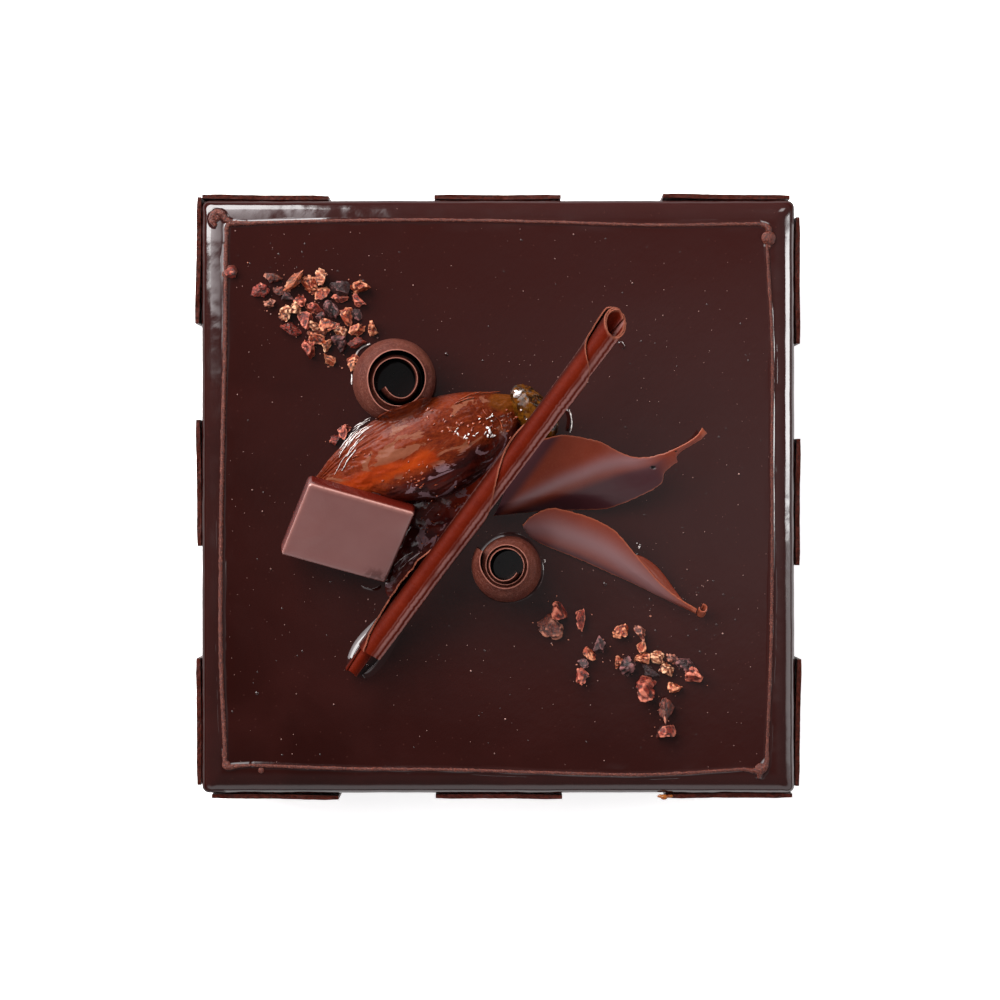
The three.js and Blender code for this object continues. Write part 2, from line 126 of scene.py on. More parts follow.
def along_line(points, count, start=0.0, end=1.0):
    """As smooth_line, but so many points evenly spaced by length, between two shares of it."""
    fine = smooth_line(points, np.linspace(0, 1, 40 * len(points)))
    steps = np.linalg.norm(np.diff(fine, axis=0), axis=1)
    travelled = np.concatenate([[0.0], np.cumsum(steps)]) / steps.sum()
    shares = np.linspace(start, end, count)
    return np.stack([np.interp(shares, travelled, values) for values in fine.T], -1)


def spaced(values, shares):
    """Values on a smooth line through equally spaced ones, at shares from 0 to 1."""
    return smooth_line(list(enumerate(values)), np.ravel(shares))[:, 1]


def read_off(table, place):
    """The value at a place of a smooth line through (place, value) pairs."""
    line = smooth_line(table, np.linspace(0, 1, 60 * len(table)))
    return np.interp(place, line[:, 0], line[:, 1])


def line_distance(plan, line):
    """Distance of plan points from a line of plan points."""
    return np.min([np.hypot(plan[:, 0] - x, plan[:, 1] - y) for x, y in along_line(line, 60)], axis=0)


def glaze_height(x, y):
    """Height of the glaze over a point seen from above, down the rounded shoulder too."""
    over = np.clip(np.maximum(np.abs(x), np.abs(y)) - (SIDE - SHOULDER_WIDE), 0.0, SHOULDER_WIDE)
    return TOP - SHOULDER_DEEP * (1 - np.sqrt(1 - (over / SHOULDER_SPAN) ** 2))


def on_glaze(plan, lift):
    """Plan points raised to the glaze, and by that lift over it."""
    return np.column_stack([plan, glaze_height(plan[:, 0], plan[:, 1]) + lift])


# ---- Meshes ----
def placed(name, data):
    """A new object of the scene that holds the mesh, lamp or camera."""
    thing = bpy.data.objects.new(name, data)
    bpy.context.collection.objects.link(thing)
    return thing


def piece(name, points, faces, material, slot=None, replaces=(), sharp=None):
    """A finished mesh piece of the torte, from points in mm, riding on the one body."""
    mesh = bpy.data.meshes.new(name)
    mesh.from_pydata((np.asarray(points, float).reshape(-1, 3) * MM).tolist(), [], faces)
    outward(mesh)
    mesh.shade_smooth()
    if sharp is not None:
        mesh.set_sharp_from_angle(angle=math.radians(sharp))
    mesh.materials.append(material)
    thing = placed(name, mesh)
    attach(thing, BODY)
    if replaces:
        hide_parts(*replaces)
    return thing


def outward(mesh):
    shell = bmesh.new()
    shell.from_mesh(mesh)
    bmesh.ops.recalc_face_normals(shell, faces=shell.faces)
    shell.to_mesh(mesh)
    shell.free()


def tag(thing, name, values):
    """Keeps one number for each of the piece's points, for its material."""
    attribute = thing.data.attributes.new(name, "FLOAT", "POINT")
    attribute.data.foreach_set("value", np.asarray(values, np.float32).ravel())


def strips(rings, first=0, ends=True):
    """Faces that join rings of equally many points, each end closed by one face."""
    count, size = np.shape(rings)[:2]
    index = first + np.arange(count * size).reshape(count, size)
    ahead = np.roll(index, -1, axis=1)
    quads = np.stack([index[:-1], ahead[:-1], ahead[1:], index[1:]], -1).reshape(-1, 4).tolist()
    if ends:
        quads += [index[0].tolist(), index[-1][::-1].tolist()]
    return quads


def leaf_faces(rings, first=0):
    """As strips, for rings that run up one face of a thin sheet and back down the other."""
    count, size = np.shape(rings)[:2]
    faces = strips(rings, first, ends=False)
    for start in (first, first + (count - 1) * size):
        for k in range(size // 2 - 1):
            faces.append([start + k, start + k + 1, start + size - 2 - k, start + size - 1 - k])
    return faces


def two_faced(front, back):
    """Rings of a thin sheet from the points, or the tags, of both of its faces."""
    return np.concatenate([front, back[:, ::-1]], axis=1)


class Bag:
    """Collects many small closed shapes into one mesh."""

    def __init__(self):
        self.points = []
        self.faces = []
        self.count = 0

    def add(self, points, faces):
        self.points.append(np.asarray(points, float).reshape(-1, 3))
        self.faces += [[self.count + corner for corner in face] for face in faces]
        self.count += len(self.points[-1])

    def rings(self, rings):
        self.add(rings, strips(rings))

    def leaf(self, front, back):
        rings = two_faced(front, back)
        self.add(rings, leaf_faces(rings))

    def finish(self, name, material, **kept):
        return piece(name, np.vstack(self.points), self.faces, material, **kept)


def grid(*parts):
    """Points from coordinates that are numbers, columns or rows, stretched to one grid."""
    return np.stack(np.broadcast_arrays(*parts), -1)


def emptied(shell):
    """The points and faces of a bmesh, which is then freed."""
    points = np.array([vertex.co for vertex in shell.verts])
    faces = [[vertex.index for vertex in face.verts] for face in shell.faces]
    shell.free()
    return points, faces


def ball(subdivisions):
    """Points and faces of a unit sphere of even triangles."""
    shell = bmesh.new()
    bmesh.ops.create_icosphere(shell, subdivisions=subdivisions, radius=1.0)
    return emptied(shell)


def tube(path, radii, sides=12, flat=1.0):
    """Rings round a path that stays about level, flat times as high as wide."""
    path = np.asarray(path, float)
    tangent = np.gradient(path, axis=0)
    side = unit(np.stack([-tangent[:, 1], tangent[:, 0], np.zeros(len(path))], -1))
    angle = 2 * np.pi * np.arange(sides) / sides
    radii = np.broadcast_to(radii, (len(path),))[:, None, None]
    out = side[:, None, :] * np.cos(angle)[None, :, None]
    rise = np.array([0.0, 0.0, flat])[None, None, :] * np.sin(angle)[None, :, None]
    return path[:, None, :] + radii * (out + rise)


def remeshed(name, source, voxel, smoothing):
    """The points, in mm, normals and faces of a mesh after an even remesh and some smoothing."""
    thing = placed(name, source)
    remesh = thing.modifiers.new("even", "REMESH")
    remesh.mode = "VOXEL"
    remesh.voxel_size = voxel * MM
    soften = thing.modifiers.new("soft", "SMOOTH")
    soften.factor = 0.5
    soften.iterations = smoothing
    shaped = thing.evaluated_get(bpy.context.evaluated_depsgraph_get()).to_mesh()
    points = np.array([vertex.co for vertex in shaped.vertices]) / MM
    normals = np.array([vertex.normal for vertex in shaped.vertices])
    faces = [list(polygon.vertices) for polygon in shaped.polygons]
    bpy.data.objects.remove(thing)
    return points, normals, faces


# ---- Materials ----
def srgb(code):
    """A linear colour from a hexadecimal one."""
    parts = [((code >> shift) & 255) / 255 for shift in (16, 8, 0)]
    return tuple(c / 12.92 if c <= 0.04045 else ((c + 0.055) / 1.055) ** 2.4 for c in parts) + (1.0,)


class Graph:
    """A node tree under way."""

    def __init__(self, tree):
        self.tree = tree

    def feed(self, socket, value):
        if isinstance(value, bpy.types.NodeSocket):
            self.tree.links.new(value, socket)
        else:
            socket.default_value = value

    def node(self, kind, *given, **named):
        """A new node, with values or other nodes' outputs for its inputs, in their order or by name."""
        node = self.tree.nodes.new(f"ShaderNode{kind}")
        for socket, value in zip(node.inputs, given):
            self.feed(socket, value)
        for name, value in named.items():
            self.feed(node.inputs[name], value)
        return node

    def reach(self, value, low, high, to_low=0.0, to_high=1.0):
        """value from low to high, turned into to_low to to_high and held there."""
        return self.node("MapRange", value, low, high, to_low, to_high).outputs["Result"]

    def math(self, operation, a, b):
        node = self.node("Math", a, b)
        node.operation = operation
        return node.outputs[0]

    def along(self, vector, way):
        node = self.node("VectorMath", vector, way)
        node.operation = "DOT_PRODUCT"
        return node.outputs["Value"]

    def blend(self, share, a, b):
        """A colour between two, each a hexadecimal code or another blend."""
        node = self.node("Mix", share)
        node.data_type = "RGBA"
        colours = [socket for socket in node.inputs if socket.type == "RGBA"]
        for socket, colour in zip(colours, (a, b)):
            self.feed(socket, srgb(colour) if isinstance(colour, int) else colour)
        return [socket for socket in node.outputs if socket.type == "RGBA"][0]

    def laid(self, base, *layers):
        """The base colour with (share, colour) layers laid over it, one after the other."""
        for share, colour in layers:
            base = self.blend(share, base, colour)
        return base


class Paint(Graph):
    """A procedural material under way: a Principled shader fed by nodes that measure in millimetres."""

    def __init__(self, name, settings):
        self.material = bpy.data.materials.new(name)
        self.material.use_nodes = True
        super().__init__(self.material.node_tree)
        self.shader = self.tree.nodes["Principled BSDF"]
        for socket, value in settings.items():
            self.shader.inputs[socket].default_value = value
        self.place = self.scaled(self.node("TexCoord").outputs["Object"], 1 / MM)

    def scaled(self, vector, factor, stretch=(1, 1, 1), turn=0.0):
        """The vector times a factor, less so along a stretched axis, with the axes turned in plan."""
        scale = [factor / part if not turn else part / factor for part in stretch]
        node = self.node("Mapping", vector, Rotation=(0, 0, math.radians(turn)), Scale=scale)
        node.vector_type = "TEXTURE" if turn else "POINT"
        return node.outputs["Vector"]

    def grain(self, size, detail=2.0, stretch=(1, 1, 1), turn=0.0, warp=0.0, rough=0.55):
        """Noise from 0 to 1 with lumps of that size, longer along an axis by its stretch."""
        place = self.scaled(self.place, 1 / size, stretch, turn)
        node = self.node("TexNoise", place, Scale=1.0, Detail=detail, Distortion=warp, Roughness=rough)
        return node.outputs["Fac"]

    def patches(self, size, low, high, detail=2.0, **kind):
        """Grain turned into patches: 0 where it is under low, 1 where it is over high."""
        return self.reach(self.grain(size, detail, **kind), low, high)

    def cells(self, size):
        """The distance from the middles of cells of about that size, in sizes."""
        return self.node("TexVoronoi", self.scaled(self.place, 1 / size), Scale=1.0).outputs["Distance"]

    def tagged(self, name):
        """What tag() keeps under that name."""
        node = self.node("Attribute")
        node.attribute_name = name
        return node.outputs["Fac"]

    def pointiness(self):
        return self.node("NewGeometry").outputs["Pointiness"]

    def relief(self, *layers):
        """Bump from (height, depth in mm) layers, one over the other."""
        normal = None
        for height, depth in layers:
            node = self.node("Bump", Distance=depth * MM, Height=height)
            if normal:
                self.feed(node.inputs["Normal"], normal)
            normal = node.outputs["Normal"]
        self.feed(self.shader.inputs["Normal"], normal)

    def done(self, colour, roughness=None):
        self.feed(self.shader.inputs["Base Color"], colour)
        if roughness is not None:
            self.feed(self.shader.inputs["Roughness"], roughness)
        return self.material


def glaze_material(name, gloss):
    paint = Paint(name, {"IOR": gloss})
    clouds = paint.math("MULTIPLY", paint.patches(30, 0.35, 0.68, 3, warp=0.6), 0.5)
    # Darker and redder at the near left, lighter at the far right: painted light that adds to the sheen
    # the glaze mirrors from the room.
    drift = paint.reach(paint.along(paint.place, (0.85, 0.75, 0)), -110, 110)
    dust = paint.reach(paint.cells(2.6), 0.05, 0.1, 0.35, 0.0)
    base = paint.laid(paint.blend(drift, 0x1d0402, 0x2d1210), (clouds, 0x2c0e0b), (dust, 0x4a2a24))
    smudge = paint.reach(paint.grain(18, 4), 0.4, 0.7, 0.03, 0.1)
    smudge = paint.math("ADD", smudge, paint.reach(paint.tagged("shoulder"), 0.0, 1.0, 0.0, 0.03))
    brushed = paint.grain(0.8, 3, stretch=(2.5, 1, 1), turn=45)
    paint.relief((paint.grain(5, 2), 0.012), (brushed, 0.006))
    return paint.done(base, smudge)


def piping_material():
    paint = Paint("piping", {"IOR": 1.4})
    grit = paint.grain(0.4, 3, rough=0.75)
    base = paint.blend(paint.reach(grit, 0.4, 0.6), 0x260603, 0x652511)
    # Pale flecks on the highest grains are painted glints.
    base = paint.blend(paint.reach(grit, 0.6, 0.68), base, 0x9a6a5a)
    paint.relief((grit, 0.3))
    return paint.done(base, paint.reach(grit, 0.3, 0.7, 0.3, 0.5))


def nib_material(name, dark, light, edge, gloss=0.25):
    paint = Paint(name, {"IOR": 1.45})
    veins = paint.grain(1.0, 4, warp=1.6, rough=0.75)
    base = paint.blend(paint.reach(veins, 0.42, 0.56), dark, light)
    # Dark crack lines and the dark creases are painted shade; the pale rim on sharp edges is the kernel's
    # pale skin and a painted highlight.
    crack_shade = paint.reach(paint.grain(0.9, 3, warp=2.0), 0.38, 0.46, 1.0, 0.0)
    rim = paint.reach(paint.pointiness(), 0.51, 0.56)
    base = paint.laid(base, (crack_shade, 0x1c0604), (paint.tagged("crease"), 0x140403), (rim, edge))
    paint.relief((veins, 0.35), (paint.grain(0.4, 3), 0.15))
    return paint.done(base, paint.reach(veins, 0.3, 0.7, gloss, gloss + 0.3))


def couverture(name, dark, light, bloom, gloss, scrape=(1, 1, 1), turn=0.0):
    """The start of a scraped chocolate: its paint, its colour and its fine scraping lines."""
    paint = Paint(name, {"IOR": gloss})
    lines = paint.grain(0.5, 3, stretch=scrape, turn=turn, rough=0.65)
    base = paint.blend(paint.patches(9, 0.35, 0.68, 3, warp=0.4), dark, light)
    return paint, paint.laid(base, (paint.reach(lines, 0.48, 0.75, 0.0, 0.4), bloom)), lines


def curl_material():
    """Matt and a little speckled, with a painted highlight on its thin rims and painted shade down inside
    it.
    """
    paint, base, lines = couverture("curl_chocolate", 0x421810, 0x54281c, 0x70463a, 1.2)
    grit = paint.grain(0.55, 3, stretch=(1, 1, 0.6), rough=0.8)
    pale, dark = (paint.reach(grit, *bounds, 0.0, 0.8) for bounds in ((0.55, 0.7), (0.45, 0.35)))
    base = paint.laid(base, (pale, 0x704a42), (dark, 0x240a06), (paint.tagged("hollow"), 0x010105),
                      (paint.tagged("edge"), 0x845347))
    paint.relief((grit, 0.14), (lines, 0.06))
    return paint.done(base, 0.5)


def petal_material():
    """Satin, with painted sheen along its fold, painted highlights along its thin edges, painted shade and
    shadow on its lower part, and black painted shade in its pits.
    """
    paint, base, lines = couverture("petal_chocolate", 0x662411, 0x6e2a17, 0x7a3b2b, 1.4)
    base = paint.laid(base, (paint.tagged("low"), 0x3c1d21), (paint.tagged("painted_sheen"), 0x765252),
                      (paint.tagged("edge"), 0x8a4630), (paint.tagged("pit"), 0x040101))
    paint.relief((lines, 0.012), (paint.grain(3, 2), 0.03))
    return paint.done(base, 0.35)


def roll_material():
    """Matt red-brown, with painted shade on its left side where tagged so, a pale stripe of painted sheen
    along it and a painted highlight on its free edge.
    """
    paint, base, lines = couverture("roll_chocolate", 0x480e04, 0x531406, 0x602210, 1.1,
                                    scrape=(1, 0.25, 1), turn=53)
    base = paint.laid(base, (paint.tagged("flank_shade"), 0x1c0503), (paint.tagged("painted_sheen_band"), 0x8c605a),
                      (paint.tagged("edge"), 0x7c4636))
    paint.relief((lines, 0.04), (paint.grain(3, 2), 0.05))
    return paint.done(base, 0.4)


def tile_material():
    paint = Paint("tile_chocolate", {"IOR": 1.2})
    crumb = paint.grain(0.7, 4, rough=0.7)
    base = paint.blend(paint.reach(crumb, 0.35, 0.7), 0x260c08, 0x3f1a12)
    broken = paint.blend(paint.reach(crumb, 0.42, 0.6), 0x240904, 0x48190f)
    base = paint.laid(base, (paint.tagged("edge"), broken))
    paint.relief((crumb, 0.14), (paint.grain(1.6, 3, stretch=(1, 1, 9)), 0.08))
    return paint.done(base, paint.reach(crumb, 0.3, 0.7, 0.35, 0.6))


def square_material():
    paint = Paint("square_chocolate", {"IOR": 1.6})
    # The face's pale mauve is a painted reflection of the pale room on dark chocolate; its sides keep the
    # chocolate's own dark red, and a worn blot is darker. The pale line along the bevel is a painted
    # highlight.
    base = paint.blend(paint.patches(14, 0.35, 0.68, 3), 0x6e4440, 0x744a46)
    blot = paint.math("MULTIPLY", paint.tagged("blot"), paint.patches(1.3, 0.36, 0.5, 4))
    worn = paint.reach(paint.grain(0.9, 3), 0.3, 0.5, 0.5, 1.0)
    bevel = paint.math("MULTIPLY", paint.tagged("bevel"), worn)
    base = paint.laid(base, (paint.tagged("side"), 0x4a110a), (blot, 0x4a1c16), (bevel, 0xa8786e))
    paint.relief((paint.grain(0.8, 3), 0.015))
    return paint.done(base, 0.2)


# The flesh's pairs of tones: the dark and the light fibres, the painted glow where light comes through,
# and the near black of thick syrup and painted shade.
FRUIT_TONES = [(0x461204, 0x5c1c07), (0x62230a, 0x6e2b10), (0x742204, 0x882e05), (0x240807, 0x440f06)]
REFLECTION_BOUNDS = (0.57, 0.585)  # of the grain where painted reflections of the room lie, for a crisp edge


def fruit_material():
    """Candied apricot: a painted glow where light comes through, near black where syrup lies thick and
    painted shade falls, and painted reflections of the room in pale patches.
    """
    settings = {"IOR": 1.15, "Coat Weight": 0.12, "Coat Roughness": 0.1, "Coat IOR": 1.5}
    paint = Paint("candied_fruit", settings)
    fibres = paint.grain(0.7, 4, stretch=(2.4, 1, 1), turn=24, warp=0.5, rough=0.8)
    blotches = paint.patches(6, 0.38, 0.62, 3, stretch=(2, 1, 1), turn=24, warp=0.8)
    dark, light, glow, syrup_and_shade = (paint.blend(blotches, *pair) for pair in FRUIT_TONES)
    painted_reflection = paint.patches(5.5, *REFLECTION_BOUNDS, 4, stretch=(2.4, 1, 1), turn=24, warp=1.0, rough=0.6)
    reflection_tone = paint.blend(paint.tagged("syrup_and_shade"), 0x6e3d2a, 0x6a5055)
    flesh = paint.laid(dark, (paint.reach(fibres, 0.42, 0.66), light), (paint.tagged("glow"), glow),
                       (paint.tagged("amber"), 0x5c2c08), (paint.tagged("syrup_and_shade"), syrup_and_shade),
                       (paint.math("MULTIPLY", painted_reflection, paint.tagged("painted_reflection")), reflection_tone))
    paint.relief((fibres, 0.1))
    return paint.done(flesh, 0.45)


def mottled(name, gloss, roughness, size, bounds, dark, light):
    """A smooth material of two tones in patches of that size."""
    paint = Paint(name, {"IOR": gloss})
    return paint.done(paint.blend(paint.patches(size, *bounds), dark, light), roughness)


def amber_material():
    settings = {"IOR": 1.2, "Coat Weight": 0.15, "Coat Roughness": 0.06, "Coat IOR": 1.5}
    paint = Paint("amber_fruit", settings)
    base = paint.blend(paint.patches(3.0, 0.42, 0.58, 3, warp=1.0), 0x1c0e04, 0x5c3408)
    ruddy = paint.reach(paint.grain(1.4), 0.5, 0.65, 0.0, 0.7)
    return paint.done(paint.laid(base, (ruddy, 0x401c06)), 0.2)


def syrup_material():
    paint = Paint("syrup", {"IOR": 1.36})
    base = paint.blend(paint.patches(7, 0.4, 0.65, 3, warp=0.6), 0x2a0b0b, 0x40110a)
    # Pale mauve patches are painted reflections of the room.
    painted_reflection = paint.patches(3.6, *REFLECTION_BOUNDS, 4, stretch=(1.8, 1, 1), turn=50, warp=1.0, rough=0.6)
    return paint.done(paint.laid(base, (paint.tagged("ruddy"), 0x661c0a), (painted_reflection, 0x64484c)), 0.14)


def jam_material():
    paint = Paint("apricot_jam", {"IOR": 1.42})
    paint.relief((paint.grain(0.6), 0.1))
    return paint.done(paint.blend(paint.patches(1.0, 0.4, 0.6, 3), 0x6a2c08, 0x8e5018), 0.3)


# ---- The glazed cake ----
GLAZE_CELLS = 240  # across its top
SHOULDER_ARCS = 22
SIDE_CELLS = 16  # down its sides


def rounded_square(loop, half, radius, z):
    """The loop's points, moved out to a square of that half width with rounded corners."""
    flat = loop[:, :2] / np.abs(loop[:, :2]).max() * half
    inner = half - radius
    heart = np.clip(flat, -inner, inner)
    away = flat - heart
    reach = np.linalg.norm(away, axis=1)
    corner = (np.abs(flat) > inner).all(axis=1) & (reach > 1e-9)
    flat[corner] = heart[corner] + away[corner] / reach[corner, None] * radius
    return np.column_stack([flat, np.full(len(flat), z)])


def cake_body():
    half = SIDE - SHOULDER_WIDE
    ticks = np.linspace(-half, half, GLAZE_CELLS + 1)
    top = grid(ticks[None, :], ticks[:, None], TOP)
    index = np.arange(ticks.size**2).reshape(ticks.size, ticks.size)

    def rim(cells):
        return np.concatenate([cells[0, :-1], cells[:-1, -1], cells[-1, :0:-1], cells[:0:-1, 0]])

    loop = rim(top)
    rings = []
    for angle in SHOULDER_TURN * np.arange(1, SHOULDER_ARCS + 1) / SHOULDER_ARCS:
        out = SHOULDER_SPAN * math.sin(angle)
        radius = CORNER * math.sqrt(out / SHOULDER_WIDE)
        height = TOP - SHOULDER_DEEP * (1 - math.cos(angle))
        rings.append(rounded_square(loop, half + out, radius, height))
    for z in np.linspace(rings[-1][0, 2], FOOT, SIDE_CELLS + 1)[1:]:
        rings.append(rounded_square(loop, SIDE, CORNER, z))
    rings.append(rounded_square(loop, SIDE - FOOT * 0.4, CORNER, FOOT * 0.3))
    rings.append(rounded_square(loop, SIDE - FOOT, CORNER, 0.0))
    rings = np.array(rings)

    quads = np.stack([index[:-1, :-1], index[:-1, 1:], index[1:, 1:], index[1:, :-1]], -1)
    faces = quads.reshape(-1, 4).tolist()
    edge = rim(index)
    first = index.size
    ring = first + np.arange(len(edge))
    faces += np.stack([edge, ring, np.roll(ring, -1), np.roll(edge, -1)], -1).tolist()
    faces += strips(rings, first, ends=False)
    faces.append((first + (len(rings) - 1) * len(edge) + np.arange(len(edge))).tolist())
    points = np.vstack([top.reshape(-1, 3), rings.reshape(-1, 3)])

    over = np.maximum(np.abs(points[:, 0]), np.abs(points[:, 1])) - half
    shoulder = smooth_step(-3.0, 1.0, over) * smooth_step(20.0, 38.0, points[:, 2])
    ripple = layered(points, (0.1, 9.0, 3), (0.022, 2.6, 9))
    points[:, 2] += smooth_step(2.0, 0.0, over) * layered(points, (0.08, 46.0, 0), (0.02, 15.0, 5))
    inward = np.clip(over / SHOULDER_WIDE, 0.0, 1.0)
    scale = 1.0 + inward * (shoulder * ripple - 0.05) / SIDE
    points[:, :2] *= scale[:, None]
    points[:, 2] += shoulder * (1.0 - inward) * ripple
    points[:, 2] = np.maximum(points[:, 2], 0.0)
    body = piece("glazed_body", points, faces, GLAZE, slot="glaze", replaces=["glazed_cake"])
    tag(body, "shoulder", shoulder)
    body.data.materials.append(GLAZE_EDGE)
    middles = np.empty(3 * len(body.data.polygons), np.float32)
    body.data.polygons.foreach_get("center", middles)
    x, y, z = middles.reshape(-1, 3).T / MM
    dull = z < np.where((x < -half) | (y > half), DULL_EDGE, DULL_BELOW)
    body.data.polygons.foreach_set("material_index", dull.astype(np.int32))
    return body


# Each side of the border is one piped line through a few hand-held waverings, the same as the solid's.
BORDER_SIDES = [
    {"turn": 90, "reach": (77, -80), "waver": [0.0, 0.3, 1.0, 1.5, 1.5, 0.1], "radius": 0.66},
    {"turn": 0, "reach": (-81, 79), "waver": [0.3, 1.1, 1.3, 0.7, -0.2, 0.2], "radius": 0.52},
    {"turn": -90, "reach": (78, -77), "waver": [-1.1, 0.1, 0.5, 0.4, 0.5, -1.1], "radius": 0.52},
    {"turn": 180, "reach": (75, -75), "waver": [-1.2, -0.1, 0.2, 1.1, 1.7, 0.0], "radius": 0.52},
]
# Loops and hooks at the corners, which join the sides, as lines of (x, y, radius).
BORDER_HOOKS = [
    [(-80.4, 82.8, 1.0), (-82.4, 83.9, 1.1), (-83.8, 85.7, 1.3), (-85.7, 85.9, 1.4), (-86.6, 84.4, 1.4),
     (-86.0, 82.7, 1.2), (-85.2, 82.4, 0.8)],
    [(-82.4, 76.0, 0.66), (-82.3, 80.0, 0.75), (-82.0, 82.2, 0.9), (-80.4, 82.8, 1.0),
     (-73.0, 82.8, 0.6)],
    [(75.0, 82.5, 0.5), (79.6, 82.5, 0.8), (82.0, 80.8, 1.15), (82.1, 75.0, 0.6)],
    [(73.5, -82.4, 0.5), (77.0, -83.0, 0.85), (79.4, -82.9, 1.5), (81.2, -80.8, 1.1),
     (81.6, -76.5, 0.55)],
    [(79.4, -82.4, 1.3), (79.2, -84.0, 1.1), (78.9, -85.4, 0.5)],
    [(-83.1, -76.0, 0.6), (-82.9, -79.5, 0.8), (-82.2, -81.9, 1.1), (-79.3, -81.6, 0.75),
     (-74.5, -81.3, 0.5)],
]
BORDER_BEADS = [
    (-80.9, 68.3, 1.9),
    (-82.4, 67.4, 1.3),
    (79.5, -82.4, 1.7),
    (81.9, 78.3, 2.2),
    (-82.3, -81.3, 1.4),
    (-71.8, -82.9, 0.9),
    (-85.3, 84.6, 1.3),
]


SIDE_STEPS = 900
HOOK_STEPS = 90
HOOK_SLIM = 0.85  # of the radius that a hook is given
PIPING_FLAT = 0.8  # how high the piping is for its width
BEAD_FLAT = 0.55  # and its beads


def turned(points, degrees):
    """The points' plan, turned round the origin."""
    cos, sin = math.cos(math.radians(degrees)), math.sin(math.radians(degrees))
    return points[:, :2] @ np.array([[cos, sin], [-sin, cos]])


def border_paths():
    """The plan line and radius of every stretch of the piping."""
    for side in BORDER_SIDES:
        start, end = side["reach"]
        bends = [(x, SIDE - BORDER_INSET + out) for x, out in
                 zip(np.linspace(start, end, len(side["waver"])), side["waver"])]
        yield turned(along_line(bends, SIDE_STEPS), side["turn"]), side["radius"]
    for hook in BORDER_HOOKS:
        line = along_line(hook, HOOK_STEPS)
        yield line[:, :2], HOOK_SLIM * line[:, 2]


def piping():
    bag = Bag()
    for number, (plan, radius) in enumerate(border_paths()):
        path = on_glaze(plan, 0.1)
        size = radius * (1.0 + layered(path, (0.16, 2.2, number), (0.1, 0.9, number + 7)))
        taper = np.sqrt(np.clip(from_ends(len(path)) / 4.0, 0.08, 1.0))
        rings = tube(path, size * taper, flat=PIPING_FLAT)
        middle = path[:, None, :]
        grit = 1.0 + 0.28 * lumps(rings, 0.4, 4.0)[..., None]
        bag.rings(middle + (rings - middle) * grit)
    points, faces = ball(3)
    for x, y, radius in BORDER_BEADS:
        bead = points * (radius, radius, radius * BEAD_FLAT)
        bead *= 1.0 + 0.07 * lumps(bead, 0.9, x)[:, None]
        bag.add(bead + (x, y, glaze_height(x, y)), faces)
    return bag.finish("piped_border", PIPING, slot="piping")


# ---- Fillets: the glaze climbs a little up whatever stands in it ----
# The width and the height of the slope beside each.
SLOPES = {"piping": (1.0, 0.25), "curl": (2.8, 0.5), "ridge": (1.3, 0.7), "tip": (2.4, 1.0)}
PIPING_FLANK = 0.8  # of the piping's radius, where the slope beside it starts
FILLET_STEPS = 9
FILLET_SINK = 0.03  # how far its outer end dips into the glaze
FILLET_ROOT = 0.4  # how deep its underside lies


def fillet(bag, plan, width, height, closed=False, side=1.0, start=0.0):
    """A hollow slope of glaze beside a plan line: height up, start off it, and running out at width."""
    tangent = np.gradient(plan, axis=0)
    if closed:
        tangent = np.roll(plan, -1, axis=0) - np.roll(plan, 1, axis=0)
    out = unit(np.column_stack([tangent[:, 1], -tangent[:, 0]]) * side)
    flat = np.column_stack([plan, np.zeros(len(plan))])
    wide = width * (1.0 + 0.35 * lumps(flat, 12.0, 2.0))
    tall = height * (1.0 + 0.35 * lumps(flat, 9.0, 6.0))
    if not closed:
        tall = tall * smooth_step(-1, 6, from_ends(len(plan)))
    slope = []
    buried = []
    for share in np.linspace(0, 1, FILLET_STEPS):
        spot = plan + out * (start + wide * share)[:, None]
        slope.append(on_glaze(spot, tall * (1.0 - share) ** 2 - FILLET_SINK * share))
        buried.append(on_glaze(spot, -FILLET_ROOT))
    rings = np.array(slope + buried[::-1]).transpose(1, 0, 2)
    if closed:
        rings = np.concatenate([rings, rings[:1]])
    bag.add(rings, strips(rings, ends=not closed))


def circle_plan(x, y, radius, count=96):
    angle = np.linspace(0, 2 * np.pi, count, endpoint=False)
    wobble = 1.0 + 0.03 * np.sin(3 * angle + x)
    return np.column_stack([x + radius * wobble * np.cos(angle), y + radius * wobble * np.sin(angle)])


# Plan lines beside which the glaze stands a little higher, and the side of the line: at the petals'
# feet, under the square's near corner and by the cigarette's tip.
GLAZE_RIDGES = [
    ([(41.5, -17.5), (45.0, -22.5), (50.0, -27.5)], -1.0),
    ([(-41.5, -26.9), (-38.0, -27.8), (-35.6, -26.6)], 1.0),
    ([(21.0, 26.6), (21.9, 23.6), (21.4, 19.8)], 1.0),
    ([(37.2, 47.2), (38.2, 45.0)], 1.0),
]


def menisci():
    bag = Bag()
    for plan, radius in border_paths():
        for side in (1.0, -1.0):
            fillet(bag, plan, *SLOPES["piping"], side=side, start=PIPING_FLANK * radius)
    for curl in CURLS:
        foot = circle_plan(curl["x"], curl["y"], curl["rim"] + 0.6)
        fillet(bag, foot, *SLOPES["curl"], closed=True)
    for line, side in GLAZE_RIDGES:
        fillet(bag, along_line(line, 40), *SLOPES["ridge"], side=side)
    low = CIGARETTE_LOW[:2]
    ahead = unit((CIGARETTE_HIGH - CIGARETTE_LOW)[:2])
    sideways = np.array([ahead[1], -ahead[0]])
    for hand in (1.0, -1.0):
        line = [low - ahead * 7 + sideways * hand * 2.0, low + sideways * hand * 3.4,
                low + ahead * 14 + sideways * hand * 2.2]
        fillet(bag, along_line(line, 50), *SLOPES["tip"], side=hand)
    return bag.finish("glaze_menisci", GLAZE, slot="glaze")


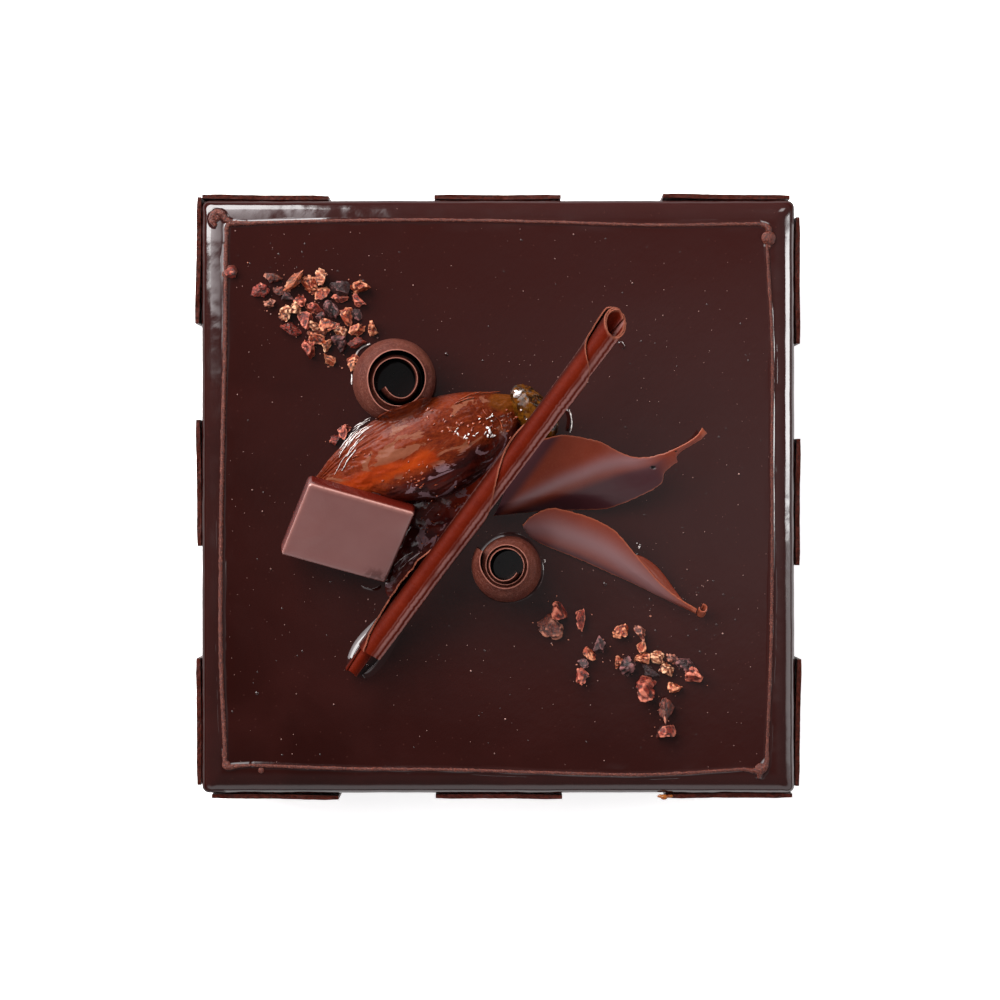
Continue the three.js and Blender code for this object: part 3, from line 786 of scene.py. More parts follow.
# ---- Cocoa nibs ----
# The chips of the heap by the curl, of the trail under the petals and the strays: x, y, length, width
# and turn.
NIBS = {
    "red": [
        (-72.6, 62.6, 5.6, 4.8, 20), (-60.4, 59.7, 4.6, 3.4, -50), (-55.2, 57.4, 5.4, 3.0, -15),
        (-47.7, 59.7, 4.8, 2.8, -10), (-42.1, 58.7, 4.2, 3.6, 0), (-63.4, 51.2, 6.4, 3.8, -25),
        (-58.5, 53.3, 5.0, 4.4, 50), (-57.4, 44.6, 4.8, 3.8, -40), (-42.1, 46.6, 5.0, 3.0, 5),
        (25.4, -37.2, 5.6, 3.4, -70), (25.5, -54.0, 5.2, 3.4, 70), (44.7, -57.9, 7.0, 6.2, 30),
        (60.1, -54.9, 5.6, 4.2, -30), (50.4, -70.8, 5.4, 4.6, 80), (-47.2, 20.3, 3.8, 3.4, 20),
        (-49.0, 17.3, 3.8, 2.6, 0), (-80.6, 67.6, 3.4, 3.0, 0), (18.9, -35.1, 6.0, 4.4, -40),
    ],
    "orange": [
        (-57.2, 63.8, 5.8, 4.6, -20), (-52.8, 62.0, 5.6, 3.0, 40), (-41.9, 64.1, 5.0, 4.4, -30),
        (-45.8, 54.3, 5.8, 4.4, -65), (-50.8, 52.2, 5.4, 4.2, 10), (-42.5, 50.4, 5.2, 3.8, 80),
        (-38.2, 51.6, 4.4, 3.4, 70), (-55.4, 47.5, 6.4, 3.6, -25), (-51.6, 41.7, 4.2, 3.2, -40),
        (-44.2, 40.2, 5.6, 3.8, 60), (37.1, -40.2, 5.2, 4.6, 60), (27.3, -47.6, 5.0, 3.8, 20),
        (43.1, -45.1, 4.2, 3.4, 80), (43.2, -48.5, 4.6, 4.2, 10), (36.3, -50.1, 3.4, 3.2, 0),
        (54.0, -58.3, 3.8, 3.4, 50),
    ],
    "tan": [
        (-61.0, 66.3, 7.8, 3.4, 45), (-53.5, 66.1, 4.8, 4.0, -30), (-64.3, 55.8, 4.2, 3.4, 60),
        (-61.6, 56.9, 3.8, 3.0, 70), (-55.4, 52.0, 4.2, 3.0, -20), (-48.1, 50.4, 4.8, 3.8, 70),
        (-51.6, 46.2, 4.8, 3.8, 60), (49.1, -48.5, 5.6, 3.2, -5), (51.1, -51.9, 5.2, 4.2, 30),
    ],
    "brown": [
        (-68.2, 66.1, 5.4, 4.8, 0), (-66.7, 62.3, 5.2, 2.2, -5), (-69.0, 58.5, 3.8, 3.0, -60),
        (-54.3, 49.7, 5.4, 2.4, -5), (15.9, -39.0, 9.2, 5.6, -25), (53.1, -49.4, 5.8, 2.8, -60),
        (50.8, -64.5, 6.4, 4.8, 60), (43.1, -40.6, 4.4, 3.4, 70),
    ],
    "dark": [
        (-47.7, 62.4, 5.8, 5.0, 0), (-64.7, 60.3, 4.0, 2.4, -20), (-50.2, 56.8, 4.8, 4.6, 0),
        (-42.5, 55.5, 3.4, 3.0, -60), (-54.3, 54.5, 3.8, 2.6, 0), (-47.5, 45.6, 5.4, 4.6, 60),
        (31.1, -45.1, 5.0, 4.2, -20), (25.7, -50.6, 3.2, 2.6, 0), (38.6, -50.6, 4.8, 4.0, 40),
        (45.8, -52.6, 6.2, 3.0, -35), (57.5, -50.4, 6.0, 3.6, -20),
    ],
}
NIB_SWELL = 1.14  # what a broken outline needs to look as long as it is given
NIB_CUTS = 9
NIB_SUNK = 0.2  # of its height, in the glaze
CRUMBS = 90
SPECKS = 620
SPECK_CROWDS = [(54, -34, 9, 7), (-60, 66, 12, 8), (-24, -6, 5, 9)]  # middles and spreads
# Dark, light and edge tone of each kind; the pale edge tone is the kernel's pale skin and a painted
# highlight.
NIB_COLOURS = {
    "red": (0x4a0c05, 0x8e2a16, 0xc87058),
    "orange": (0x6a1606, 0xa8421c, 0xd88c66),
    "tan": (0x6c2410, 0xac5a34, 0xe0aa84),
    "brown": (0x34100a, 0x78301c, 0xac6c56),
    "dark": (0x14080a, 0x381818, 0x7e4c4a),
}


def chip(long, wide, turn, draw, points):
    """A broken kernel's points and creases: a ball that is cut by flat faces, creased and dented."""
    shape = points.copy()
    for _ in range(NIB_CUTS):
        normal = unit(draw.normal(size=3))
        depth = draw.uniform(0.25, 0.7)
        shape -= np.outer(np.clip(shape @ normal - depth, 0.0, None), normal)
    seed = draw.uniform(0, 50)
    crease = np.exp(-((lumps(shape, 0.62, seed) / 0.1) ** 2))
    dent = layered(shape, (0.2, 0.5, seed + 3), (0.1, 0.2, seed))
    shape *= (1.0 + dent - 0.2 * crease)[:, None]
    shape /= np.ptp(shape[:, :2], axis=0).max() / 2
    shape *= (long / 2, wide / 2 * 1.1, wide / 2 * draw.uniform(0.75, 1.0))
    lean = Matrix.Rotation(draw.uniform(-0.3, 0.3), 3, "Y")
    spin = Matrix.Rotation(math.radians(turn), 3, "Z")
    shape = shape @ np.array(spin @ lean).T
    shape[:, 2] -= shape[:, 2].min()
    return shape, crease


def nibs():
    points, faces = ball(4)
    for kind, places in NIBS.items():
        draw = np.random.default_rng(len(kind) + len(places))
        bag = Bag()
        creases = []
        for x, y, long, wide, turn in places:
            shape, crease = chip(NIB_SWELL * long, NIB_SWELL * wide, turn, draw, points)
            sunk = NIB_SUNK * shape[:, 2].max()
            bag.add(shape + (x, y, glaze_height(x, y) - sunk), faces)
            creases.append(crease)
        heap = bag.finish(f"cocoa_nibs_{kind}", NIB_PAINTS[kind], slot="cocoa_nibs", sharp=35)
        # The creases are painted dark: painted shade in the folds.
        tag(heap, "crease", np.concatenate(creases))


def crumbs():
    """Fine bits of nib that lie round the heap and the trail."""
    draw = np.random.default_rng(31)
    points, faces = ball(1)
    bag = Bag()
    places = [place for kind in NIBS.values() for place in kind]
    for _ in range(CRUMBS):
        x, y, size = places[draw.integers(len(places))][:3]
        away = size * 0.5 + abs(draw.normal(0, 2.2))
        angle = draw.uniform(0, 2 * np.pi)
        spot = np.array([x + away * math.cos(angle), y + away * math.sin(angle)])
        small = draw.uniform(0.1, 0.3)
        bit = points * (small * draw.uniform(0.7, 1.6), small, small * 0.7)
        bit *= draw.uniform(0.7, 1.2, (len(bit), 1))
        bag.add(bit + (*spot, glaze_height(*spot) + small * 0.3), faces)
    return bag.finish("nib_crumbs", NIB_PAINTS["brown"], slot="cocoa_nibs", sharp=30)


def specks():
    """Dust and tiny bubbles all over the glaze."""
    draw = np.random.default_rng(12)
    points, faces = ball(2)
    bag = Bag()
    bubbles = Bag()
    for number in range(SPECKS):
        x, y = draw.uniform(-82, 82, 2)
        if number % 6 == 0:
            middle_x, middle_y, spread_x, spread_y = SPECK_CROWDS[number // 6 % len(SPECK_CROWDS)]
            x, y = draw.normal(middle_x, spread_x), draw.normal(middle_y, spread_y)
        size = draw.uniform(0.07, 0.17) * (1.8 if draw.uniform() > 0.93 else 1.0)
        ground = float(glaze_height(x, y))
        if number % 4:
            bag.add(points * size + (x, y, ground + size * 0.3), faces)
        else:
            bubbles.add(points * size * (2.2, 2.2, 1.2) + (x, y, ground), faces)
    bag.finish("glaze_dust", SPECK, slot="glaze")
    bubbles.finish("glaze_bubbles", GLAZE, slot="glaze")


# ---- The tiles round the sides ----
TILE_SWELL = 0.2  # how far its back face stands nearer the cake than the solid's


def tile_shell(node):
    """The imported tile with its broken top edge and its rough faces, and a narrow dark slot behind it."""
    shell = bmesh.new()
    shell.from_mesh(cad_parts[node].data)
    bmesh.ops.remove_doubles(shell, verts=shell.verts, dist=0.01 * MM)
    bmesh.ops.subdivide_edges(shell, edges=shell.edges, cuts=5, use_grid_fill=True)
    bmesh.ops.triangulate(shell, faces=shell.faces)
    shell.verts.index_update()
    points, faces = emptied(shell)
    points = points / MM
    out = 1 if node.split("_")[1] in ("front", "back") else 0
    sign = np.sign(points[:, out].mean())
    height = points[:, 2].copy()
    high = smooth_step(30.0, 38.0, height)
    plan = points * (1.0, 1.0, 0.05)
    broken = 0.5 * np.abs(lumps(plan, 4.0, 3.0)) + 0.35 * np.abs(lumps(plan, 1.2, 8.0))
    points[:, 2] -= high * broken
    outer = np.abs(points[:, out]) > np.abs(points[:, out]).mean()
    rough = layered(points, (0.1, 6.0, 1), (0.05, 1.1, 2))
    points[:, out] += sign * np.where(outer, -np.abs(rough), -TILE_SWELL)
    points[:, 2] = np.maximum(points[:, 2], 0.0)
    shaped = piece(f"{node}_chocolate", points, faces, TILE, slot="tile_chocolate",
                   replaces=[node], sharp=35)
    tag(shaped, "edge", smooth_step(37.5, 38.6, height))
    return shaped


# ---- The upright curls ----
# The winding is how much of the way out its sheet lies after so many turns.
CURLS = [
    {"name": "curl_1", "x": -31.5, "y": 34.8, "height": 18, "reach": 12.6, "rim": 9.0, "hole": 6.1,
     "turns": 2.125, "start": 215, "hand": 1, "lean": (1.3, 0.3), "tail": 2.0, "flare": 1.2,
     "winding": [(0, 0), (0.7, 0.06), (1.3, 0.9), (2.125, 1)]},
    {"name": "curl_2", "x": 3.3, "y": -21.4, "height": 16, "reach": 11.2, "rim": 7.4, "hole": 4.3,
     "turns": 2.5, "start": 328, "hand": -1, "lean": (-1.0, 0.8), "tail": 0.6, "flare": 1.1,
     "winding": [(0, 0), (2.5, 1)]},
]
CURL_GAP = 0.7
CURL_LIP = 0.24
CURL_POINTS = 45  # up each face
CURL_FULLNESS = 2.2  # of its profile: 2 for a round belly, more for a flatter one
STEPS_A_TURN = 110


def curl_sheet(curl):
    wound = np.linspace(0, 1, int(curl["turns"] * STEPS_A_TURN) + 1)[:, None]
    v = np.linspace(0, 1, CURL_POINTS)[None, :] ** 0.85
    swelling = 1 - np.abs(2 * v - 1) ** CURL_FULLNESS
    angle = math.radians(curl["start"]) + curl["hand"] * 2 * np.pi * curl["turns"] * wound
    tuck = curl["tail"] * smooth_step(0.25, 0.0, curl["turns"] * wound)
    flare = curl["flare"] * smooth_step(1 - 0.2 / curl["turns"], 1.0, wound)
    reach = mix(curl["rim"], curl["reach"], swelling)
    pitch = (reach - curl["hole"] + CURL_GAP) / (curl["turns"] + 1)
    way_out = read_off(curl["winding"], curl["turns"] * wound)
    radius = curl["hole"] + pitch * curl["turns"] * way_out - tuck + flare * (1 - swelling)
    lean_x, lean_y = curl["lean"]
    winding = 8 * grid(np.cos(angle), np.sin(angle), 3 * wound)
    ragged = layered(winding, (0.22, 2.0, curl["x"]), (0.12, 0.6, curl["y"]))
    sunk = 0.2 + 1.3 * np.sin(np.pi * wound) ** 2
    rise = TOP + GAP + curl["height"] * v + (ragged - sunk) * smooth_step(0.8, 1.0, v)
    relief = 0.05 * lumps(grid(radius * np.cos(angle), radius * np.sin(angle), rise * 3), 4.0, 2.0)
    thickness = mix(pitch - CURL_GAP, np.minimum(CURL_LIP, pitch - CURL_GAP), smooth_step(0.8, 0.97, v))

    def face(out):
        x = curl["x"] + lean_x * v**2 + (radius + out) * np.cos(angle)
        y = curl["y"] + lean_y * v**2 + (radius + out) * np.sin(angle)
        return grid(x, y, rise)

    rings = two_faced(face(0.0), face(thickness - np.abs(relief)))
    sheet = piece(f"{curl['name']}_sheet", rings, leaf_faces(rings), CURL_CHOCOLATE, slot="chocolate",
                  replaces=[curl["name"]], sharp=60)
    # Painted highlight on the top rims, and painted shade down inside the hole and between the turns.
    near_rim = smooth_step(0.98, 1.0, v) + 0 * wound
    tag(sheet, "edge", two_faced(near_rim, near_rim))
    inside = smooth_step(0.97, 0.7, v) + 0 * wound
    covered = inside * smooth_step(1 - 0.98 / curl["turns"], 1 - 1.02 / curl["turns"], wound)
    tag(sheet, "hollow", two_faced(inside, covered))
    return sheet


# ---- The rolled cigarette ----
# Distances are along its axis from the high end: where the free edge of the sheet lies round the roll,
# and how far that edge stands off it.
ROLL_SEAM = [(0, 192), (8, 180), (15, 150), (22, 50), (25, 20), (38, -80), (51, -180), (69, -295),
             (78, -360), (98, -530), (118, -550), (131, -610)]
ROLL_LIFT = [(0, 0.5), (9, 0.5), (16, 0.4), (24, 0.15), (60, 0.1), (92, 0.12), (100, 0.8), (112, 1.0),
             (120, 0.3), (131, 0.1)]
# Painted sheen in pale streaks along its right side, a painted reflection of the light there: where across
# it, in radii, how wide and how pale.
ROLL_SHEEN_STREAKS = [(0.5, 0.12, 0.85), (0.86, 0.08, 1.0), (0.24, 0.05, 0.3), (-0.95, 0.05, 0.45)]
ROLL_MOUTH = 0.45  # how much wider it is at its high end
ROLL_TURNS = 2.3
ROLL_WIND = 0.55
ROLL_WALL = 0.42
ROLL_ROWS = 480
# The sheet's inner end, which shows in the low mouth: its turns, where it starts and ends along the
# axis, its first reach and how much of that a turn loses.
ROLL_CORE = {"turns": 1.6, "from": -8.2, "to": 9.0, "reach": 2.45, "wind": 0.55}


def roll_axes():
    """The roll's length, and its unit ways to the right, up and along it to its high end."""
    along = unit(CIGARETTE_HIGH - CIGARETTE_LOW)
    right = unit(np.cross(along, (0, 0, 1)))
    return np.linalg.norm(CIGARETTE_HIGH - CIGARETTE_LOW), right, np.cross(right, along), along


def cigarette():
    length, right, upper, along = roll_axes()
    around = np.linspace(0, ROLL_TURNS, int(ROLL_TURNS * STEPS_A_TURN))[None, :]
    rows = np.linspace(0, 1, ROLL_ROWS)[:, None]

    def wound(origin, radius, turn, rise):
        """Points at that radius, turn and rise round the roll's axis, which starts at origin."""
        spot = radius[..., None] * (np.cos(turn)[..., None] * right + np.sin(turn)[..., None] * upper)
        return origin + spot + rise[..., None] * along

    end_angle = np.radians(read_off(ROLL_SEAM, 0.0)) + 2 * np.pi * around
    high_end = length - 6.4 - 3.2 * np.sin(end_angle) - 1.0 * np.cos(end_angle)
    high_end = high_end + 0.6 * np.abs(lumps(grid(around * 9, 0, 0), 1.0, 4.0))
    low_end = 0.5 + 0.5 * lumps(grid(around * 7, 0, 0), 1.0, 9.0)
    s = mix(low_end, high_end, rows)
    from_tip = length - s
    angle = np.radians(read_off(ROLL_SEAM, from_tip)) + 2 * np.pi * around
    radius = CIGARETTE_RADIUS + mix(0.15, -0.15, s / length) - ROLL_WIND * around
    radius = radius + ROLL_MOUTH * smooth_step(14.0, 4.0, from_tip)
    surface = grid(radius * np.cos(angle), radius * np.sin(angle), s)
    level = surface * (0, 0, 1)
    torn = smooth_step(94, 102, from_tip) * smooth_step(122, 116, from_tip)
    edge_noise = layered(level, (1.0, 1.3, 1), (0.5, 0.5, 3))
    near_edge = smooth_step(0.05, 0.0, around)
    angle = angle + (0.05 + 0.3 * torn) * edge_noise * near_edge
    lift = read_off(ROLL_LIFT, from_tip) * smooth_step(0.2, 0.0, around)
    lift = lift * (1 + (0.25 + 0.5 * torn) * lumps(level, 3.0, 3.0))
    scraped = 0.05 * lumps(surface * (1, 1, 3), 2.2, 5.0) + 0.04 * lumps(surface * (1, 1, 4), 0.8, 6.0)
    outside, inside = radius + (lift + scraped), radius + (lift - ROLL_WALL)
    bag = Bag()
    bag.leaf(*(wound(CIGARETTE_LOW, reach, angle, s) for reach in (outside, inside)))

    spiral = np.linspace(0, ROLL_CORE["turns"], 70)[None, :]
    core_rows = np.linspace(ROLL_CORE["from"], ROLL_CORE["to"], 40)[:, None]
    core_reach = ROLL_CORE["reach"] - ROLL_CORE["wind"] * spiral + 0 * core_rows
    turn = math.radians(150) + 2 * np.pi * spiral + 0.05 * core_rows
    end_wave = 0.5 * np.sin(2 * np.pi * spiral * 1.4) * smooth_step(-5.0, -8.0, core_rows)
    core_rows = core_rows + end_wave
    heart = CIGARETTE_LOW - 0.9 * right - 0.3 * upper
    bag.leaf(*(wound(heart, reach, turn, core_rows) for reach in (core_reach, core_reach - 0.4)))
    roll = bag.finish("chocolate_cigarette_roll", ROLL_CHOCOLATE, slot="chocolate",
                      replaces=["chocolate_cigarette"], sharp=50)
    # Painted highlight along the sheet's free edge and its high end.
    edge = np.zeros(bag.count)
    outer_edge = np.maximum(smooth_step(0.025, 0.0, around), smooth_step(0.992, 1.0, rows))
    edge[: outer_edge.size * 2] = two_faced(outer_edge, outer_edge).ravel()
    tag(roll, "edge", edge)
    # Pale streaks of painted sheen, a painted reflection of the light at the right, and painted shade on
    # the left side.
    from_axis = np.vstack(bag.points) - CIGARETTE_LOW
    across = from_axis @ right / CIGARETTE_RADIUS
    stretch = (from_axis @ along)[:, None] * (0, 0, 1)
    wander = layered(stretch, (0.06, 30.0, 1), (0.03, 4.0, 2), (0.05, 0.9, 3))
    painted_sheen_band = sum(weight * np.exp(-(((across + wander - middle) / width) ** 4))
               for middle, width, weight in ROLL_SHEEN_STREAKS)
    patchy = 0.35 + 0.65 * smooth_step(-0.35, 0.15, lumps(stretch + (0, 5, 0), 9.0, 4.0) + across - 0.4)
    tag(roll, "painted_sheen_band", np.clip(painted_sheen_band, 0, 1) * patchy)
    tag(roll, "flank_shade", smooth_step(-0.4, -1.0, across))
    return roll


# ---- The chocolate square ----
SQUARE = {
    "centre": (-45.1, -11.2, TOP + 11.8),
    "across": (31.3, -8.9, -5.0),
    "far": (9.2, 21.4, 10.5),
    "half": (16.3, 12.6),
    "thickness": 5.6,
    "corner": 0.9,
    "bevel": 0.8,
    "draft": 0.5,
}
BEVEL_STEPS = 8
BLOT = {"middle": (13.6, -11.4), "half": (4.4, 2.6)}  # the dark patch at its near right corner


def square_axes():
    """Unit ways across the square's face, to its far side and out of the face."""
    across, far = unit(np.array(SQUARE["across"])), unit(np.array(SQUARE["far"]))
    return across, far, unit(np.cross(across, far))


def rounded_ring(half_x, half_y, radius, per_corner=8, per_side=40):
    """Plan points of a rounded rectangle, with more of them at its corners."""
    arcs = []
    for corner, (sx, sy) in enumerate(((1, 1), (-1, 1), (-1, -1), (1, -1))):
        angle = np.pi / 2 * (corner + np.linspace(0, 1, per_corner + 1))
        centre = np.array([sx * (half_x - radius), sy * (half_y - radius)])
        arcs.append(centre + radius * np.column_stack([np.cos(angle), np.sin(angle)]))
    stretches = []
    for arc, following in zip(arcs, arcs[1:] + arcs[:1]):
        stretches += [arc[:-1], np.linspace(arc[-1], following[0], per_side, endpoint=False)]
    return np.vstack(stretches)


def chocolate_square():
    across, far, face = square_axes()
    half_x, half_y = SQUARE["half"]
    draft, thick, bevel = SQUARE["draft"], SQUARE["thickness"], SQUARE["bevel"]
    layers = [(-thick, draft - 0.8), (-thick + 0.3, draft - 0.2), (-thick + 0.8, draft), (-2.4, 0.35),
              (-1.1, 0.25)]
    for step in range(BEVEL_STEPS + 1):
        angle = math.pi / 2 * step / BEVEL_STEPS
        layers.append((-bevel * (1 - math.sin(angle)), 0.1 - bevel * (1 - math.cos(angle))))
    for inset in (1.4, 2.6, 4.5, 7.0, 9.5):
        layers.append((0.02, -inset))
    rings = []
    for z, out in layers:
        radius = max(SQUARE["corner"] + min(out, 0.4), 0.25)
        plan = rounded_ring(half_x + out, half_y + out, radius)
        rings.append(np.column_stack([plan, np.full(len(plan), z)]))
    rings = np.array(rings)
    rings[..., 2] += layered(rings, (0.05, 6.0, 2), (0.02, 2.0, 3))
    local = rings.reshape(-1, 3)
    points = np.array(SQUARE["centre"]) + local @ np.array([across, far, face])
    square = piece("chocolate_square_bare", points, strips(rings), SQUARE_CHOCOLATE,
                   slot="square_chocolate", replaces=["chocolate_square"], sharp=50)
    from_blot = (local[:, :2] - BLOT["middle"]) / BLOT["half"]
    tag(square, "blot", np.exp(-((from_blot**2).sum(axis=1) ** 2)))
    tag(square, "side", smooth_step(-0.1, -0.5, local[:, 2]))
    # Painted highlight along the far bevel, fainter along the left one.
    crest = np.exp(-(((local[:, 2] + 0.35) / 0.3) ** 2))
    far_edge = smooth_step(half_y - 1.4, half_y - 0.6, local[:, 1])
    left_edge = 0.35 * smooth_step(half_x - 1.4, half_x - 0.6, -local[:, 0])
    tag(square, "bevel", crest * np.maximum(far_edge, left_edge))
    return square


# ---- The petals ----
# upper, lower: both edges from the end under the cigarette to the tip, as (x, y, height over the glaze).
# arch, steep: the most that the sheet stands off the chord between them, and for its width there.
# fold: where across it, from the upper edge, the fold lies at each share of its length.
# pits: small holes as (x, y, size).
# painted_sheen: how far past the fold the pale painted reflection lies, its reach, and between which
# shares it dies out.
# low: where past the fold the painted shade sets in and is full, and between which shares it dies out.
PETALS = [
    {"name": "petal_1", "arch": 3.0, "steep": 0.3, "pits": [(46.5, 8.8, 0.9), (53.2, 13.6, 0.35)],
     "painted_sheen": (0.0, 2.5, 0.58, 0.8), "low": (0.1, 0.3, 0.68, 0.82),
     "fold": [(0, 0.8), (0.14, 0.7), (0.3, 0.49), (0.45, 0.29), (0.6, 0.11), (0.7, 0.06), (1, 0.06)],
     "upper": [(6, 12.5, 9.5), (12, 16.5, 11.5), (17.7, 18.2, 12.8), (22.1, 18.2, 13),
               (30.2, 16.5, 12.2), (34.9, 14.1, 11), (38.8, 12.4, 10.2), (42.7, 11.7, 9.8),
               (48.3, 12.6, 10.4), (53.4, 14.5, 11.6), (59.0, 17.9, 13.8), (60.9, 20.6, 14.8)],
     "lower": [(-1.5, -5.8, 0.7), (8, -4.8, 1), (16, -4.2, 1.6), (31.3, -3.7, 3), (36.4, -2.4, 3.8),
               (40.7, -0.7, 4.8), (46.1, 1.9, 6), (48.6, 3.6, 6.7), (49.6, 4.9, 7.1), (49.9, 7.1, 7.9),
               (52.0, 9.2, 8.8), (53.8, 10.5, 9.4), (53.3, 11.4, 9.7), (54.6, 13.3, 10.6),
               (58.9, 16.1, 12.6), (60.8, 17.3, 13.4), (62.4, 18.9, 13.9)]},
    {"name": "petal_2", "arch": 0.5, "steep": 0.2, "pits": [],
     "painted_sheen": (0.02, 4.2, 0.75, 1.0), "low": (0.28, 0.48, 0.8, 1.0),
     "fold": [(0, 0.5), (0.5, 0.5), (1, 0.5)],
     "upper": [(7.4, -8.6, 3.6), (10.1, -5.9, 6), (14.9, -3.7, 7.8), (19.1, -3.9, 8.4),
               (27.7, -6.3, 8.8), (33.3, -9.1, 8.8), (36.3, -11.5, 8.6), (40.6, -16.6, 7.8),
               (45, -21.8, 6.8), (49.4, -26.6, 5.6), (53.8, -30.1, 4.6), (59.9, -34, 3.8)],
     "lower": [(7.8, -9.8, 2.2), (10.1, -12.4, 1), (14.9, -15, 0.8), (23.6, -18.5, 0.8),
               (32.3, -22.4, 0.8), (41, -26.3, 0.9), (49.7, -30.6, 1.2), (59.7, -35.2, 2.6)]},
]
PETAL_ROWS = 241
PETAL_POINTS = 61  # in each row, on each face
PETAL_THICKNESS = 0.6
# The far flank of the second petal, behind its crest: shares of the crest's length, reach and drop.
FLANK = {"from": 0.62, "to": 0.93, "reach": 2.7, "drop": 2.2}
PETAL_TIP_LOOP = {"centre": (61.4, -35.3), "radius": 1.3, "start": 165, "sweep": 290, "height": 2.4}
FOLD_SHARPNESS = 5.0


def fold_height(spec, u, w, width):
    """How far the sheet stands off its chord at shares u along and w across, from the upper edge."""
    peak = read_off(spec["fold"], u)[:, None]
    height = np.minimum(spec["arch"], spec["steep"] * peak * width[:, None])
    rise, fall = w / peak, (1 - w) / (1 - peak)
    nearer = -np.log(np.exp(-FOLD_SHARPNESS * rise) + np.exp(-FOLD_SHARPNESS * fall)) / FOLD_SHARPNESS
    return height * (nearer + np.log(2) / FOLD_SHARPNESS * np.minimum(1.0, 4 * np.minimum(w, 1 - w)))


def petal(spec):
    u = np.linspace(0, 1, PETAL_ROWS)
    v = np.linspace(0, 1, PETAL_POINTS)
    high, low = (along_line(spec[side], PETAL_ROWS) + (0, 0, TOP) for side in ("upper", "lower"))
    chord = high - low
    width = np.linalg.norm(chord, axis=1)
    outward_way = unit(np.cross(chord, np.gradient(high, axis=0)))
    outward_way *= np.sign(outward_way[:, 2])[:, None]
    arch = fold_height(spec, u, 1 - v[None, :], width)
    v = v[None, :, None]
    middle = low[:, None, :] + chord[:, None, :] * v + outward_way[:, None, :] * arch[..., None]
    wave = layered(middle, (0.1, 8.0, 3), (0.03, 2.4, 5))
    thin = PETAL_THICKNESS / 2 * mix(0.35, 1.0, np.sin(np.pi * v) ** 0.5)
    from_edge = np.minimum(v, 1 - v)[..., 0] * width[:, None]
    nick = layered(middle, (0.16, 1.4, 8), (0.096, 0.6, 2)) * smooth_step(1.4, 0.0, from_edge)
    middle = middle + (chord / width[:, None])[:, None, :] * nick[..., None]
    pit = np.zeros(middle.shape[:2])
    for x, y, size in spec["pits"]:
        away = np.hypot((middle[..., 0] - x) / size, (middle[..., 1] - y) / size * 1.8)
        pit = np.maximum(pit, smooth_step(1.1, 0.7, away))
    front = middle + outward_way[:, None, :] * (thin + (wave - 0.5 * pit)[..., None])
    back = middle - outward_way[:, None, :] * (thin - wave[..., None])
    rings = two_faced(front, back)
    leaf = piece(f"{spec['name']}_shaving", rings, leaf_faces(rings), PETAL_CHOCOLATE,
                 slot="chocolate", replaces=[spec["name"]], sharp=60)
    # Painted light for the material: painted highlights on the thin edges and the tip, painted sheen past
    # the fold, painted shade on the part past it, painted shadow of the cigarette beside it, and black
    # painted shade in the pits.
    tip = np.broadcast_to(u[:, None], from_edge.shape)
    edge = np.maximum(smooth_step(0.4, 0.05, from_edge), 0.8 * smooth_step(0.965, 0.99, tip))
    past = 1 - v[..., 0] - read_off(spec["fold"], u)[:, None]
    shift, reach, begins, ends = spec["painted_sheen"]
    painted_sheen = np.exp(-(((past - shift) * width[:, None] / reach) ** 2)) * smooth_step(ends, begins, tip)
    sets_in, full, begins, ends = spec["low"]
    shade_part = smooth_step(sets_in, full, past) * smooth_step(ends, begins, tip)
    beside_roll = (middle - CIGARETTE_LOW) @ roll_axes()[1]
    shade_part = np.maximum(shade_part, smooth_step(8.5, 5.5, beside_roll))
    painted_sheen = painted_sheen * smooth_step(5.5, 9.0, beside_roll)
    for name, values in (("edge", edge), ("pit", pit), ("low", shade_part), ("painted_sheen", painted_sheen)):
        tag(leaf, name, two_faced(values, values))
    return high


def petal_flank(crest):
    """The strip of the second petal that folds away behind its crest, and the loop that ends its tip."""
    share = np.linspace(0, 1, 70)
    place = mix(FLANK["from"], FLANK["to"], share) * (len(crest) - 1)
    line = np.stack([np.interp(place, np.arange(len(crest)), values) for values in crest.T], -1)
    tangent = np.gradient(line, axis=0)
    out = unit(np.column_stack([-tangent[:, 1], tangent[:, 0]]))
    swell = np.sin(np.pi * share**0.8)
    v = np.linspace(0, 1, 12)[None, :, None]
    reach = (FLANK["reach"] * swell)[:, None, None] * v
    drop = (FLANK["drop"] * swell)[:, None, None] * v**1.6
    front = line[:, None, :] + np.concatenate([out[:, None, :] * reach, -drop], axis=2) - (0, 0, 0.15)
    bag = Bag()
    bag.leaf(front, front - (0, 0, 0.4))

    loop = PETAL_TIP_LOOP
    angle = np.radians(loop["start"] + loop["sweep"] * np.linspace(0, 1, 50))[:, None]
    rise = np.linspace(0, 1, 10)[None, :]

    def wall(radius):
        x = loop["centre"][0] + radius * np.cos(angle) + 0.5 * rise
        y = loop["centre"][1] + radius * np.sin(angle) + 1.7 * rise
        return grid(x, y, TOP + 1.2 + loop["height"] * rise)

    bag.leaf(wall(loop["radius"]), wall(loop["radius"] - 0.35))
    fold = bag.finish("petal_2_fold", PETAL_CHOCOLATE, slot="chocolate")
    # The tip loop gets a painted highlight all over.
    tag(fold, "edge", np.repeat([0.0, 0.7], [len(points) for points in bag.points]))
    return fold


# ---- The fruit and its syrup ----
# The apricot lies along a line, with cross-sections that reach to both sides and up, as its solid does.
APRICOT = {
    "left": np.array([-57.0, 0.5]),
    "right": np.array([8.5, 27.6]),
    "upper": [2, 9.8, 13.4, 13.3, 10.2, 3],
    "lower": [2, 9, 14, 16.5, 12, 3],
    "crest": [3, 11, 16.5, 17.5, 14, 5],
}
FRUIT_RINGS = 301
FRUIT_POINTS = 240  # in each ring
FRUIT_FULLNESS = 0.8  # of its cross-sections: 1 for ellipses, less for flatter tops and steeper sides
GLOW_LINE = [(-50.0, 0.0), (-48.5, 1.4), (-40.4, 4.8), (-32.8, 7.5), (-26.1, 9.6), (-20.0, 11.7)]


